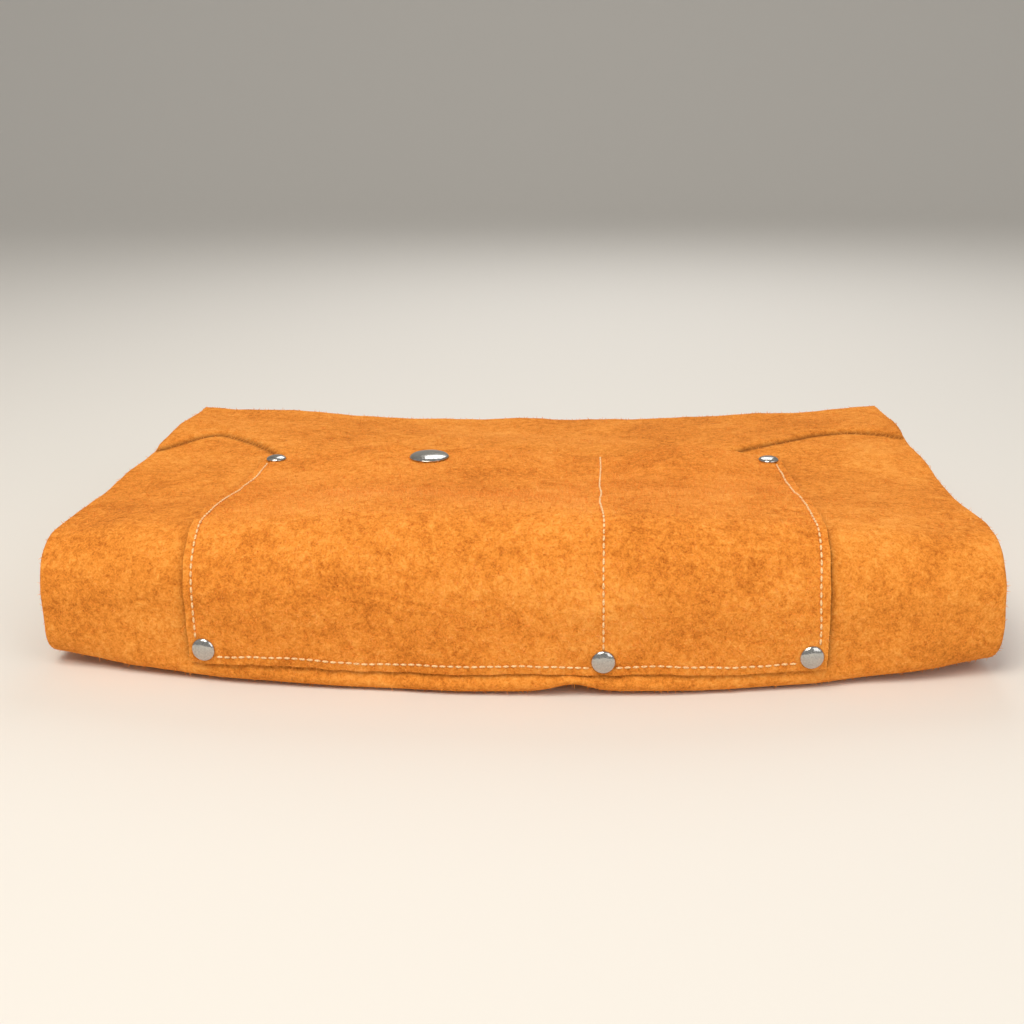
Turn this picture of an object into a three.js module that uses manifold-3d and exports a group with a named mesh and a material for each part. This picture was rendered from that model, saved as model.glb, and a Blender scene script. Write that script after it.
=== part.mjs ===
// A leather bib apron for welding, folded into a flat bundle with its bib pocket outermost.
//
// Millimetres, +Z up, +X to the wearer's left as the bundle is read from the front, -Y towards the front roll.
// The origin is the middle of the bundle's underside. Every leather sheet is drawn first as a straight bundle
// whose section is the same all along X. settle() then gives it the shape a soft bundle takes: fuller along the
// middle of its front, lower along the middle of its back, and lifted at its two front corners.
//
// The bundle opens like a book at foldLevel, half way up its front. What lies below that level stays on the
// table (the skirt), and what lies above it lifts (the bib).

import * as THREE from "three";
import { mergeVertices } from "three/addons/utils/BufferGeometryUtils.js";
import Module from "manifold-3d";

const wasm = await Module();
wasm.setup();

// ---- Driving dimensions ----

const bundleWidth = 400;
const bundleDepth = 262;
const bundleHeight = 52;
const leather = 1.6; // thickness of the split cowhide
const rest = 0.3; // gap between two pieces that lie on each other
const parting = 0.3; // gap between two halves of one sheet, where the fold crosses it

const foldLevel = 22; // height of the line that the bundle opens about
const frontLowRadius = 12; // outside radius where the front turns under
const frontTopRadius = 24; // outside radius where the front turns over the top
const skirtFoldRadius = 6.1; // the fold at the back of the skirt, to the middle of the leather
const bibFoldRadius = 5; // the fold at the back of the bib, to the middle of the leather
const hemStart = -92; // the skirt's hem, inside the bundle
const bibTopStart = -86; // the bib's top edge, inside the bundle
const bibTopWidth = 320;

const flapWidth = 105; // each side of the apron is folded in by this much
const flapGap = 1.7; // between a panel and the side flap that lies on it
const armholeReach = 78; // where the armhole meets the side edge, behind the middle
const armholeDepth = 58; // how far the armhole cuts forward

const frontSwell = 15; // extra height along the middle of the front
const backSag = 9; // missing height along the middle of the back
const swellNear = 30; // how far behind the front that swell begins to go
const swellFar = 110; // how far behind the front it is gone
const sagStart = 28; // where the back begins to fall, behind the middle
const frontBow = 20; // how far the middle of the front stands before its ends
const bowEnd = 46; // where that bow ends, behind the middle
const cornerLift = 5; // height of the two front corners off the table
const liftedWidth = 80; // how much of each side that lift takes in
const liftedDepth = 110; // how far back it reaches

const pocketLeft = -133.5;
const pocketRight = 127;
const pocketDivider = 37; // the seam between the wide and the narrow compartment
const pocketFoot = 9; // height of the pocket's bottom edge on the front
const pocketMouth = 12; // the pocket's mouth, behind the middle of the bundle
const pocketGap = 0.5; // between a panel and the pocket that lies on it
const mouthGape = 7.5; // how far each compartment's mouth stands open
const gapeDepth = 78; // how far into the pocket that gape reaches
const mouthPanelMargin = 22; // from the seams beside it to the part of the mouth that opens
const mouthPanelDepth = 60;

const seamInset = 3.4; // stitch lines, from the pocket's edges
const threadGap = 0.5; // between the thread and the leather below it
const threadRadius = 0.45;

const rivetRadius = 5.1;
const rivetHeight = 2.4;
const rivetInset = 6.4; // rivets, from the pocket's side edges
const rivetLevel = 15; // height of the bottom rivets
const rivetMouthInset = 8; // top corner rivets, from the mouth
const tubeRadius = 2;
const tubeWall = 0.6;
const stemClearance = 0.3;
const holeClearance = 0.35;
const rivetBackRadius = 4.4;
const rivetBackHeight = 1;

const snapRadius = 10;
const snapHeight = 2.6;
const snapInset = 13; // the snap, from the mouth
const socketRadius = 6.2;
const snapStack = 3.4; // pocket leather to bib leather at the snap
const studRadius = 2.6;
const dimpleFlat = 10.5; // the leather is flat this far round the snap
const dimpleReach = 24; // and drawn down this far round it

const strapWidth = 25;
const strapThickness = 1.8;
const strapPitch = 3.2; // from one run of a folded strap to the next
const strapCentre = 132; // neck straps, from the middle
const longStrapRuns = 5;
const tieWidth = 20;
const tieStack = 2.6; // thickness of a tie that lies doubled
const tieCentre = 105; // waist ties, from the middle
const tieRest = 0.8; // below the side flaps at the ties' middles; the flaps slope a little across them

const wire = 3; // the buckle's frame, thickness of its bars
const buckleSlack = 3; // the strap's play between the sides of the buckle
const buckleLength = 25;
const buckleBar = { y: 14, z: 28 }; // the bar that the short strap and the prong turn on
const prongWidth = 2.4;
const prongThickness = 1.6;
const keeperLength = 8;
const keeperWall = 1.4;
const keeperStart = -10;

const roundSides = 12; // sides of holes, stems and whatever is out of sight
const capSides = 24; // sides of the caps that show
const arcStep = Math.PI / 9; // widest angle that one flat side of a fold takes up
const rollStep = 27; // longest flat side along the bundle, where its front falls away
const lineStep = 55; // and elsewhere along it
const widthStep = 50; // and across it

// ---- Values that follow from those ----

const halfWidth = bundleWidth / 2;
const front = -bundleDepth / 2;
const back = bundleDepth / 2;
const half = leather / 2;
const topMiddle = bundleHeight - half; // height of the bib's sheet, to the middle of the leather
const bibTopLevel = topMiddle - 2 * bibFoldRadius;
const skirtFoldY = back - half - skirtFoldRadius; // where the back folds begin
const bibFoldY = back - half - bibFoldRadius;
const pocketOffset = leather + pocketGap; // from a panel's middle to the pocket's middle
const flapOffset = leather + flapGap;
const flapInner = halfWidth - flapWidth;
const wideCentre = (pocketLeft + pocketDivider) / 2;
const narrowCentre = (pocketRight + pocketDivider) / 2;
const snapY = pocketMouth - snapInset;
const buckleWidth = strapWidth + 2 * wire + buckleSlack;
const mouthPanelStart = pocketMouth - mouthPanelDepth;
const gapeMargin = rivetInset + rivetRadius + 0.8; // the pocket is held flat this far from its seams
const mouthFrom = pocketLeft + mouthPanelMargin;
const mouthTo = pocketDivider - mouthPanelMargin;

const suede = material(0xf2922f, 0.95, 0);
const thread = material(0xf6d08c, 0.7, 0);
const nickel = material(0xc4c7cc, 0.22, 1);
const webbing = material(0x2b2a28, 0.9, 0);

function material(color, roughness, metalness) {
  return new THREE.MeshStandardMaterial({ color, roughness, metalness });
}

// ---- The shape a soft bundle takes ----

function ease(from, to, value) {
  const t = share(from, to, value);
  return t * t * (3 - 2 * t);
}

// How far along a value is from one place to another, in even steps, as a sheet with straight sides needs.
function share(from, to, value) {
  return Math.min(1, Math.max(0, (value - from) / (to - from)));
}

function settle(p) {
  const across = 1 - (p.x / halfWidth) ** 2;
  const atFront = 1 - share(front + swellNear, front + swellFar, p.y);
  const atBack = share(sagStart, back, p.y);
  const swell = (across * (frontSwell * atFront - backSag * atBack)) / (bundleHeight - foldLevel);
  const beside = Math.max(0, (Math.abs(p.x) - halfWidth + liftedWidth) / liftedWidth);
  const lift = cornerLift * beside * (1 - share(front, front + liftedDepth, p.y));
  return new THREE.Vector3(
    p.x,
    p.y - frontBow * across * (1 - ease(front, bowEnd, p.y)),
    p.z + Math.max(0, p.z - foldLevel) * swell + lift,
  );
}

// How far the pocket's mouth stands off the bib at a place: most in the middle of each compartment, nothing at
// the seams, and drawn down to the height of the snap around the snap.
function gape(x, y) {
  const inWide = x < pocketDivider;
  const middle = inWide ? wideCentre : narrowCentre;
  const reach = (inWide ? pocketDivider : pocketRight) - middle - gapeMargin;
  const across = Math.max(0, 1 - ((x - middle) / reach) ** 2);
  const open = mouthGape * Math.sqrt(across) * ease(pocketMouth - gapeDepth, pocketMouth, y);
  const fromSnap = Math.max(Math.abs(x - wideCentre), Math.abs(y - snapY));
  const drawn = 1 - ease(dimpleFlat, dimpleReach, fromSnap);
  return open * (1 - drawn) + (snapStack - pocketGap) * drawn;
}

// ---- Where the sheets bend ----

// Every sheet bends at the same places across and along the bundle, so sheets that lie on each other keep their
// distance. Places closer together than the step are kept, and wider gaps are filled in evenly.
function stations(keys, step) {
  const sorted = [...new Set(keys)].sort((a, b) => a - b);
  return sorted.flatMap((key, i) => {
    const next = sorted[i + 1];
    const parts = next === undefined ? 1 : Math.ceil((next - key) / step);
    return Array.from({ length: parts }, (_, n) => key + ((next ?? key) - key) * (n / parts));
  });
}

const acrossStations = stations(
  [
    -halfWidth,
    -bibTopWidth / 2,
    -halfWidth + liftedWidth,
    -flapInner,
    pocketLeft,
    pocketLeft + gapeMargin,
    wideCentre - dimpleReach,
    wideCentre - dimpleFlat,
    wideCentre + dimpleFlat,
    wideCentre + dimpleReach,
    pocketDivider - gapeMargin,
    pocketDivider,
    pocketDivider + gapeMargin,
    narrowCentre,
    flapInner,
    pocketRight - gapeMargin,
    pocketRight,
    halfWidth - liftedWidth,
    bibTopWidth / 2,
    halfWidth,
  ],
  widthStep,
);
const fallStart = front + swellNear;
const fallEnd = front + swellFar;
const alongStations = [
  front,
  ...stations([fallStart, fallEnd], rollStep),
  ...stations([snapY - dimpleFlat, snapY + dimpleFlat, pocketMouth, sagStart, back], lineStep),
];

function between(places, from, to) {
  const inside = places.filter((place) => place > from + 1 && place < to - 1);
  return [from, ...inside, to];
}

// ---- Sheets ----

// Points along a path of lines and arcs in the Y-Z plane, close enough together to bend with settle().
function sample(path) {
  const points = [];
  // A path puts a line of no length before an arc that starts where the last curve ended.
  for (const curve of path.curves.filter((each) => each.getLength() > 1e-3)) {
    const straight = curve instanceof THREE.LineCurve;
    const first = points.length ? 1 : 0;
    if (straight) {
      const { v1, v2 } = curve;
      const forward = v2.x > v1.x;
      const places = between(alongStations, Math.min(v1.x, v2.x), Math.max(v1.x, v2.x));
      if (!forward) places.reverse();
      const level = Math.abs(v2.x - v1.x) > 1;
      const run = level ? places.map((y) => (y - v1.x) / (v2.x - v1.x)) : [0, 1];
      points.push(...run.slice(first).map((t) => curve.getPoint(t)));
      continue;
    }
    const pieces = Math.max(3, Math.ceil(Math.abs(curve.aEndAngle - curve.aStartAngle) / arcStep - 1e-6));
    for (let i = first; i <= pieces; i++) points.push(curve.getPoint(i / pieces));
  }
  return points;
}

// The outline of a strip of the given thickness whose middle follows the points.
function strip(points, thickness) {
  const sides = points.map((p, i) => {
    const before = points[Math.max(0, i - 1)];
    const after = points[Math.min(points.length - 1, i + 1)];
    const a = new THREE.Vector2().subVectors(p, before).normalize();
    const b = new THREE.Vector2().subVectors(after, p).normalize();
    const along = new THREE.Vector2().addVectors(a, b).normalize();
    const stretch = 1 / Math.max(0.5, along.dot(i ? a : b));
    return new THREE.Vector2(-along.y, along.x).multiplyScalar((thickness / 2) * stretch);
  });
  const left = points.map((p, i) => p.clone().add(sides[i]));
  const right = points.map((p, i) => p.clone().sub(sides[i])).reverse();
  return new THREE.Shape([...left, ...right]);
}

// A sheet from one X to another whose section follows a path in the Y-Z plane, settled into the bundle. raise
// lifts it further at a place, and level is the X whose section the whole sheet keeps, if it has to stay level.
function sheet(path, thickness, fromX, toX, raise = () => 0, level = null) {
  const places = between(acrossStations, fromX, toX);
  const steps = places.length - 1;
  const geometry = new THREE.ExtrudeGeometry(strip(sample(path), thickness), {
    depth: steps,
    steps,
    bevelEnabled: false,
  });
  const position = geometry.getAttribute("position");
  for (let i = 0; i < position.count; i++) {
    const [y, z, x] = [position.getX(i), position.getY(i), places[Math.round(position.getZ(i))]];
    const p = settle(new THREE.Vector3(level ?? x, y, z));
    position.setXYZ(i, x, p.y, p.z + raise(x, y));
  }
  return geometry;
}

// ---- Cutting ----

function solid(geometry) {
  const bare = geometry.index ? geometry.toNonIndexed() : geometry.clone();
  for (const name of Object.keys(bare.attributes)) if (name !== "position") bare.deleteAttribute(name);
  const merged = mergeVertices(bare, 1e-3);
  return new wasm.Manifold(
    new wasm.Mesh({
      numProp: 3,
      vertProperties: merged.attributes.position.array,
      triVerts: new Uint32Array(merged.index.array),
    }),
  );
}

function cut(geometry, ...cutters) {
  let left = solid(geometry);
  for (const cutter of cutters) left = left.subtract(solid(cutter));
  const mesh = left.getMesh();
  const made = new THREE.BufferGeometry();
  made.setAttribute("position", new THREE.BufferAttribute(mesh.vertProperties, 3));
  made.setIndex(new THREE.BufferAttribute(mesh.triVerts, 1));
  made.computeVertexNormals();
  return made;
}

// A prism over an outline in the X-Y plane, between two heights.
function prism(outline, low, high) {
  const shape = new THREE.Shape(outline.map(([x, y]) => new THREE.Vector2(x, y)));
  const geometry = new THREE.ExtrudeGeometry(shape, { depth: high - low, bevelEnabled: false });
  return geometry.translate(0, 0, low);
}

function block(fromX, toX, fromY, toY, low, high) {
  return prism([[fromX, fromY], [toX, fromY], [toX, toY], [fromX, toY]], low, high);
}

// ---- Seats: where a fastener stands on the settled leather, with its own +Z pointing out of the leather ----

function seat(point, outward) {
  const here = settle(point);
  const step = 0.5;
  const [dx, dy, dz] = [
    [step, 0, 0],
    [0, step, 0],
    [0, 0, step],
  ].map((d) => settle(point.clone().add(new THREE.Vector3(...d))).sub(here));
  const turned = new THREE.Matrix3().set(dx.x, dy.x, dz.x, dx.y, dy.y, dz.y, dx.z, dy.z, dz.z);
  const normal = outward.clone().applyMatrix3(turned.invert().transpose()).normalize();
  const turn = new THREE.Quaternion().setFromUnitVectors(new THREE.Vector3(0, 0, 1), normal);
  return new THREE.Matrix4().compose(here, turn, new THREE.Vector3(1, 1, 1));
}

// How thick a stack of sheets is once it has settled.
function settledDepth(x, y, top, depth) {
  return settle(new THREE.Vector3(x, y, top)).distanceTo(settle(new THREE.Vector3(x, y, top - depth)));
}

function drill(place, radius, low, high) {
  const hole = new THREE.CylinderGeometry(radius, radius, high - low, roundSides);
  hole.rotateY(Math.PI / roundSides).rotateX(Math.PI / 2).translate(0, 0, (low + high) / 2);
  return hole.applyMatrix4(place);
}

function turned(profile, sides = roundSides) {
  const points = profile.map(([radius, height]) => new THREE.Vector2(radius, height));
  return new THREE.LatheGeometry(points, sides).rotateX(Math.PI / 2);
}

const apron = new THREE.Group();
apron.name = "welding_apron";

function add(name, geometry, look, place) {
  const mesh = new THREE.Mesh(geometry, look);
  mesh.name = name;
  if (place) place.decompose(mesh.position, mesh.quaternion, mesh.scale);
  apron.add(mesh);
  return mesh;
}

// ---- Paths of the sheets, in the Y-Z plane ----

// The skirt's way from the opening level down the front and under, as far back as a given place. offset moves
// the path into the bundle.
function underPath(offset, end) {
  const path = new THREE.Path();
  path.moveTo(front + half + offset, foldLevel - parting / 2);
  path.lineTo(front + half + offset, frontLowRadius);
  path.absarc(front + frontLowRadius, frontLowRadius, frontLowRadius - half - offset, Math.PI, 1.5 * Math.PI);
  path.lineTo(end, half + offset);
  return path;
}

// The fold at the back of the skirt, and the layer that comes forward from it to the hem.
function hemPath(offset, path) {
  path.absarc(skirtFoldY, half + skirtFoldRadius, skirtFoldRadius - offset, -Math.PI / 2, Math.PI / 2);
  path.lineTo(hemStart, half + 2 * skirtFoldRadius - offset);
  return path;
}

// The bib's way from the opening level up the front and over the top, as far back as a given place.
function risePath(offset, end) {
  const path = new THREE.Path();
  path.moveTo(front + half + offset, foldLevel + parting / 2);
  path.lineTo(front + half + offset, bundleHeight - frontTopRadius);
  const arcRadius = frontTopRadius - half - offset;
  const arcCentre = [front + frontTopRadius, bundleHeight - frontTopRadius];
  path.absarc(...arcCentre, arcRadius, Math.PI, Math.PI / 2, true);
  path.lineTo(end, topMiddle - offset);
  return path;
}

// The fold at the back of the bib, and the layer that comes forward from it to the bib's top edge.
function bibTopPath() {
  const path = new THREE.Path();
  path.absarc(bibFoldY, topMiddle - bibFoldRadius, bibFoldRadius, Math.PI / 2, -Math.PI / 2, true);
  path.lineTo(bibTopStart, bibTopLevel);
  return path;
}

// A level run from one place to another.
function levelPath(from, to, z) {
  const path = new THREE.Path();
  path.moveTo(from, z);
  path.lineTo(to, z);
  return path;
}

// The pocket below the opening level.
function pocketLowerPath() {
  const path = new THREE.Path();
  const outside = front + half - pocketOffset;
  const radius = frontLowRadius - half + pocketOffset;
  const turn = Math.asin((frontLowRadius - pocketFoot) / radius);
  path.moveTo(outside, foldLevel - parting / 2);
  path.lineTo(outside, frontLowRadius);
  path.absarc(front + frontLowRadius, frontLowRadius, radius, Math.PI, Math.PI + turn);
  return path;
}

// ---- Places of the fasteners ----

const outwards = new THREE.Vector3(0, -1, 0);
const upwards = new THREE.Vector3(0, 0, 1);
const pocketFace = front - leather - pocketGap; // outside of the pocket on the front
const pocketTop = bundleHeight + pocketGap + leather; // outside of the pocket on the top

const footRivets = {
  left: seat(new THREE.Vector3(pocketLeft + rivetInset, pocketFace, rivetLevel), outwards),
  divider: seat(new THREE.Vector3(pocketDivider, pocketFace, rivetLevel), outwards),
  right: seat(new THREE.Vector3(pocketRight - rivetInset, pocketFace, rivetLevel), outwards),
};
const mouthRivetY = pocketMouth - rivetMouthInset;
const mouthRivets = {
  left: seat(new THREE.Vector3(pocketLeft + rivetInset, mouthRivetY, pocketTop), upwards),
  right: seat(new THREE.Vector3(pocketRight - rivetInset, mouthRivetY, pocketTop), upwards),
};
const snapSeat = seat(new THREE.Vector3(wideCentre, snapY, bundleHeight), upwards);
const neckRivetY = bibTopStart + 10;
const neckRivets = {
  left: seat(new THREE.Vector3(-strapCentre, neckRivetY, bibTopLevel + half), upwards),
  right: seat(new THREE.Vector3(strapCentre, neckRivetY, bibTopLevel + half), upwards),
};

const pocketDrills = (places) => places.map((p) => drill(p, tubeRadius + holeClearance, -6, 2));
const neckDrills = (low, high) => {
  return Object.values(neckRivets).map((p) => drill(p, tubeRadius + holeClearance, low, high));
};

// ---- The skirt half: what stays on the table ----

const footPlaces = Object.values(footRivets);
const mouthPlaces = Object.values(mouthRivets);

const skirt = sheet(underPath(0, skirtFoldY - parting), leather, -halfWidth, halfWidth);
add("skirt_panel", cut(skirt, ...pocketDrills(footPlaces)), suede);
add("skirt_hem_panel", sheet(hemPath(0, new THREE.Path()), leather, -halfWidth, halfWidth), suede);

for (const [side, from, to] of [
  ["left", -halfWidth, -flapInner],
  ["right", flapInner, halfWidth],
]) {
  const flap = sheet(hemPath(flapOffset, underPath(flapOffset, skirtFoldY)), leather, from, to);
  add(`side_flap_${side}_lower`, flap, suede);
}

const pocketLower = sheet(pocketLowerPath(), leather, pocketLeft, pocketRight);
add("pocket_lower", cut(pocketLower, ...pocketDrills(footPlaces)), suede);

// ---- The bib half: what lifts when the bundle is opened ----

const snapHole = drill(snapSeat, tubeRadius + holeClearance, -6, 12);

// The bib is narrower than the apron above the armholes, so what lies inside the bundle is narrower too.
const bibEdge = bibTopWidth / 2;
const bibSides = [
  [-halfWidth - 10, -bibEdge],
  [bibEdge, halfWidth + 10],
].map(([from, to]) => block(from, to, bibTopStart - 30, back - 25, foldLevel + 1, topMiddle - 2 * leather));
add("bib_front_panel", sheet(risePath(0, fallEnd - parting), leather, -halfWidth, halfWidth), suede);
const bib = sheet(levelPath(fallEnd, sagStart - parting, topMiddle), leather, -halfWidth, halfWidth);
add("bib_panel", cut(bib, ...pocketDrills(mouthPlaces), snapHole), suede);
const bibBack = sheet(levelPath(sagStart, bibFoldY - parting, topMiddle), leather, -halfWidth, halfWidth);
add("bib_back_panel", bibBack, suede);
const bibTop = sheet(bibTopPath(), leather, -halfWidth, halfWidth);
add("bib_top_panel", cut(bibTop, ...bibSides, ...neckDrills(-4, 2)), suede);

// Each side flap ends at the armhole: a curve from its inner edge, forward, to the side of the bundle, behind.
function armhole(side) {
  const curve = new THREE.QuadraticBezierCurve(
    new THREE.Vector2(side * (flapInner - 5), armholeReach - armholeDepth),
    new THREE.Vector2(side * (halfWidth - 30), armholeReach - armholeDepth + 4),
    new THREE.Vector2(side * (halfWidth + 5), armholeReach + 12),
  );
  const edge = curve.getPoints(8).map((p) => [p.x, p.y]);
  const outline = [...edge, [side * (halfWidth + 5), back + 10], [side * (flapInner - 5), back + 10]];
  return prism(side > 0 ? outline : outline.reverse(), foldLevel, bundleHeight + 30);
}

for (const [side, sign] of [
  ["left", -1],
  ["right", 1],
]) {
  const [from, to] = sign < 0 ? [-halfWidth, -flapInner] : [flapInner, halfWidth];
  const flap = sheet(risePath(flapOffset, back - 20), leather, from, to);
  add(`side_flap_${side}_upper`, cut(flap, armhole(sign)), suede);
}

const mouthGap = 1.2; // all round the part of the mouth that opens
const upperSheet = sheet(risePath(-pocketOffset, pocketMouth), leather, pocketLeft, pocketRight, gape);

// The window that the mouth's opening part leaves in the pocket, a little larger than that part.
function mouthWindow() {
  const [from, to] = [mouthFrom - mouthGap, mouthTo + mouthGap];
  const edge = between(acrossStations, from, to).map((x) => {
    const p = settle(new THREE.Vector3(x, mouthPanelStart, bundleHeight));
    return [x, p.y - mouthGap];
  });
  return prism([...edge, [to, pocketMouth + 30], [from, pocketMouth + 30]], foldLevel + 20, bundleHeight + 40);
}
add("pocket_upper", cut(upperSheet, mouthWindow(), ...pocketDrills(mouthPlaces)), suede);

// ---- The part of the wide compartment's mouth that the snap holds down ----

const mouthPath = levelPath(mouthPanelStart, pocketMouth, bundleHeight + pocketGap + half);
const mouthSheet = sheet(mouthPath, leather, mouthFrom, mouthTo, gape);
add("pocket_mouth_panel", cut(mouthSheet, snapHole), suede);

// ---- Rivets ----

// The cap: a dome over a tube that passes the leather. Height 0 is the face that the dome sits on.
function rivetCap(reach) {
  const inner = tubeRadius - tubeWall;
  return turned([
    [0, rivetHeight * 0.72],
    [inner, rivetHeight * 0.7],
    [inner, -reach],
    [tubeRadius, -reach],
    [tubeRadius, rest],
    [rivetRadius * 0.94, rest],
    [rivetRadius, rivetHeight * 0.3],
    [rivetRadius * 0.86, rivetHeight * 0.66],
    [rivetRadius * 0.5, rivetHeight * 0.93],
    [0, rivetHeight],
  ], capSides);
}

// The back: a disc inside, with a stem up the cap's tube.
function rivetBack(depth) {
  const stem = tubeRadius - tubeWall - stemClearance;
  const top = -depth - rest;
  return turned(
    [
      [0, top - rivetBackHeight],
      [rivetBackRadius, top - rivetBackHeight],
      [rivetBackRadius, top],
      [stem, top],
      [stem, rivetHeight * 0.2],
      [0, rivetHeight * 0.2],
    ],
    12,
  );
}

const pocketStack = 2 * leather + pocketGap;
const neckStack = settledDepth(strapCentre, neckRivetY, bibTopLevel + half, leather + rest + strapThickness);
const rivetSets = [
  ["pocket_foot", footRivets, pocketStack],
  ["pocket_mouth", mouthRivets, pocketStack],
  ["neck_strap", neckRivets, neckStack],
];
for (const [where, places, stack] of rivetSets)
  for (const [side, place] of Object.entries(places)) {
    add(`rivet_cap_${where}_${side}`, rivetCap(stack - rest), nickel, place);
    add(`rivet_back_${where}_${side}`, rivetBack(stack), nickel, place);
  }

// ---- The snap, in its seat on the bib's face: stud below, socket and cap above ----

const socketTop = snapStack - rest;
const capFace = snapStack + leather + rest;
add(
  "snap_cap",
  turned([
    [0, capFace + snapHeight * 0.62],
    [tubeRadius - tubeWall, capFace + snapHeight * 0.6],
    [tubeRadius - tubeWall, socketTop - 0.6],
    [tubeRadius, socketTop - 0.6],
    [tubeRadius, capFace],
    [snapRadius * 0.95, capFace],
    [snapRadius, capFace + snapHeight * 0.3],
    [snapRadius * 0.86, capFace + snapHeight * 0.72],
    [snapRadius * 0.45, capFace + snapHeight * 0.96],
    [0, capFace + snapHeight],
  ], capSides),
  nickel,
  snapSeat,
);
const socketBore = studRadius + 0.5;
add(
  "snap_socket",
  turned([
    [tubeRadius + rest, socketTop],
    [tubeRadius + rest, socketTop - 0.5],
    [socketBore, socketTop - 0.9],
    [socketBore, rest + 0.7],
    [socketRadius - 0.5, rest + 0.7],
    [socketRadius, socketTop - 0.9],
    [socketRadius * 0.8, socketTop],
    [tubeRadius + rest, socketTop],
  ]),
  nickel,
  snapSeat,
);
add(
  "snap_stud",
  turned([
    [tubeRadius - tubeWall, -leather - rest],
    [tubeRadius, -leather - rest],
    [tubeRadius, rest * 0.5],
    [socketRadius, rest * 0.5],
    [socketRadius, rest + 0.3],
    [studRadius * 0.8, rest + 0.4],
    [studRadius, socketTop - 1.6],
    [studRadius * 0.8, socketTop - 1.1],
    [tubeRadius - tubeWall, socketTop - 1.1],
    [tubeRadius - tubeWall, -leather - rest],
  ]),
  nickel,
  snapSeat,
);
add("snap_back", rivetBack(leather), nickel, snapSeat);

// ---- Stitching: one line of thread along each seam, drawn as a cord that lies on the leather ----

function threadLine(name, points) {
  const curve = new THREE.CurvePath();
  for (let i = 1; i < points.length; i++) curve.add(new THREE.LineCurve3(points[i - 1], points[i]));
  const ring = new THREE.Shape();
  ring.absarc(0, 0, threadRadius, 0, 2 * Math.PI);
  const geometry = new THREE.ExtrudeGeometry(ring, {
    extrudePath: curve,
    steps: Math.max(8, Math.round(curve.getLength() / 8)),
    curveSegments: 3,
    bevelEnabled: false,
  });
  add(name, geometry, thread);
}

const threadOff = pocketOffset + half + threadGap + threadRadius; // thread's middle, from a panel's middle

for (const [side, x, end] of [
  ["left", pocketLeft + seamInset, mouthRivetY - rivetRadius - 1.5],
  ["divider", pocketDivider, pocketMouth - 3],
  ["right", pocketRight - seamInset, mouthRivetY - rivetRadius - 1.5],
]) {
  const line = sample(risePath(-threadOff, end)).slice(1);
  threadLine(`seam_thread_${side}`, line.map((p) => settle(new THREE.Vector3(x, p.x, p.y))));
}

// The foot seam runs between the rivets, just above the pocket's bottom edge.
function footSeam(fromX, toX) {
  const radius = frontLowRadius - half + threadOff;
  const level = pocketFoot + seamInset;
  const drop = Math.max(0, frontLowRadius - level);
  const y = front + frontLowRadius - Math.sqrt(radius ** 2 - drop ** 2);
  return between(acrossStations, fromX, toX).map((x) => settle(new THREE.Vector3(x, y, level)));
}
const besideRivet = rivetRadius + 1;
const footLeft = pocketLeft + rivetInset + besideRivet;
const footRight = pocketRight - rivetInset - besideRivet;
threadLine("seam_thread_foot_wide", footSeam(footLeft, pocketDivider - besideRivet));
threadLine("seam_thread_foot_narrow", footSeam(pocketDivider + besideRivet, footRight));

// ---- Straps, packed inside the bundle ----

// A strap folded to and fro: run after run, each a pitch below the last.
function foldedStrap(start, near, far, level, pitch, runs) {
  const path = new THREE.Path();
  path.moveTo(start, level);
  for (let i = 0; i < runs; i++) {
    const z = level - i * pitch;
    const goingBack = i % 2 === 0;
    const end = goingBack ? far : near;
    path.lineTo(end, z);
    if (i === runs - 1) break;
    path.absarc(end, z - pitch / 2, pitch / 2, Math.PI / 2, goingBack ? -Math.PI / 2 : 1.5 * Math.PI, goingBack);
  }
  return path;
}

const strapLevel = bibTopLevel - half - rest - strapThickness / 2;
const strapHoles = neckDrills(-8, 0);
const longStrap = sheet(
  foldedStrap(bibTopStart + 2, neckRivetY + 14, 70, strapLevel, strapPitch, longStrapRuns),
  strapThickness,
  strapCentre - strapWidth / 2,
  strapCentre + strapWidth / 2,
);
add("neck_strap_long", cut(longStrap, strapHoles[1]), webbing);

// The short strap comes down from the bib, turns round the buckle's bar and runs back under itself.
const loopRadius = wire / 2 + 1 + strapThickness / 2 + 0.1;
const shortPath = new THREE.Path();
shortPath.moveTo(bibTopStart + 2, strapLevel);
shortPath.lineTo(neckRivetY + 20, strapLevel);
shortPath.lineTo(neckRivetY + 45, buckleBar.z + loopRadius);
shortPath.lineTo(buckleBar.y, buckleBar.z + loopRadius);
shortPath.absarc(buckleBar.y, buckleBar.z, loopRadius, Math.PI / 2, -Math.PI / 2, true);
shortPath.lineTo(keeperStart - 14, buckleBar.z - loopRadius);
const shortStrap = sheet(
  shortPath,
  strapThickness,
  -strapCentre - strapWidth / 2,
  -strapCentre + strapWidth / 2,
);
const prongSlot = prongWidth / 2 + 0.6;
const slot = block(
  -strapCentre - prongSlot,
  -strapCentre + prongSlot,
  buckleBar.y - 6,
  buckleBar.y + 8,
  buckleBar.z - 8,
  buckleBar.z + 8,
);
add("neck_strap_short", cut(shortStrap, strapHoles[0], slot), webbing);

for (const [side, sign] of [
  ["left", -1],
  ["right", 1],
]) {
  const path = levelPath(front + 46, back - 34, topMiddle - flapOffset - half - tieRest - tieStack / 2);
  const [from, to] = [sign * tieCentre - tieWidth / 2, sign * tieCentre + tieWidth / 2];
  const tie = sheet(path, tieStack, from, to, () => 0, sign * tieCentre);
  add(`waist_tie_${side}`, tie, webbing);
}

// ---- The buckle ----

const barPlace = new THREE.Vector3(-strapCentre, buckleBar.y, buckleBar.z);
const carried = settle(barPlace).sub(barPlace); // how far the settled strap takes the buckle with it

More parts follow.
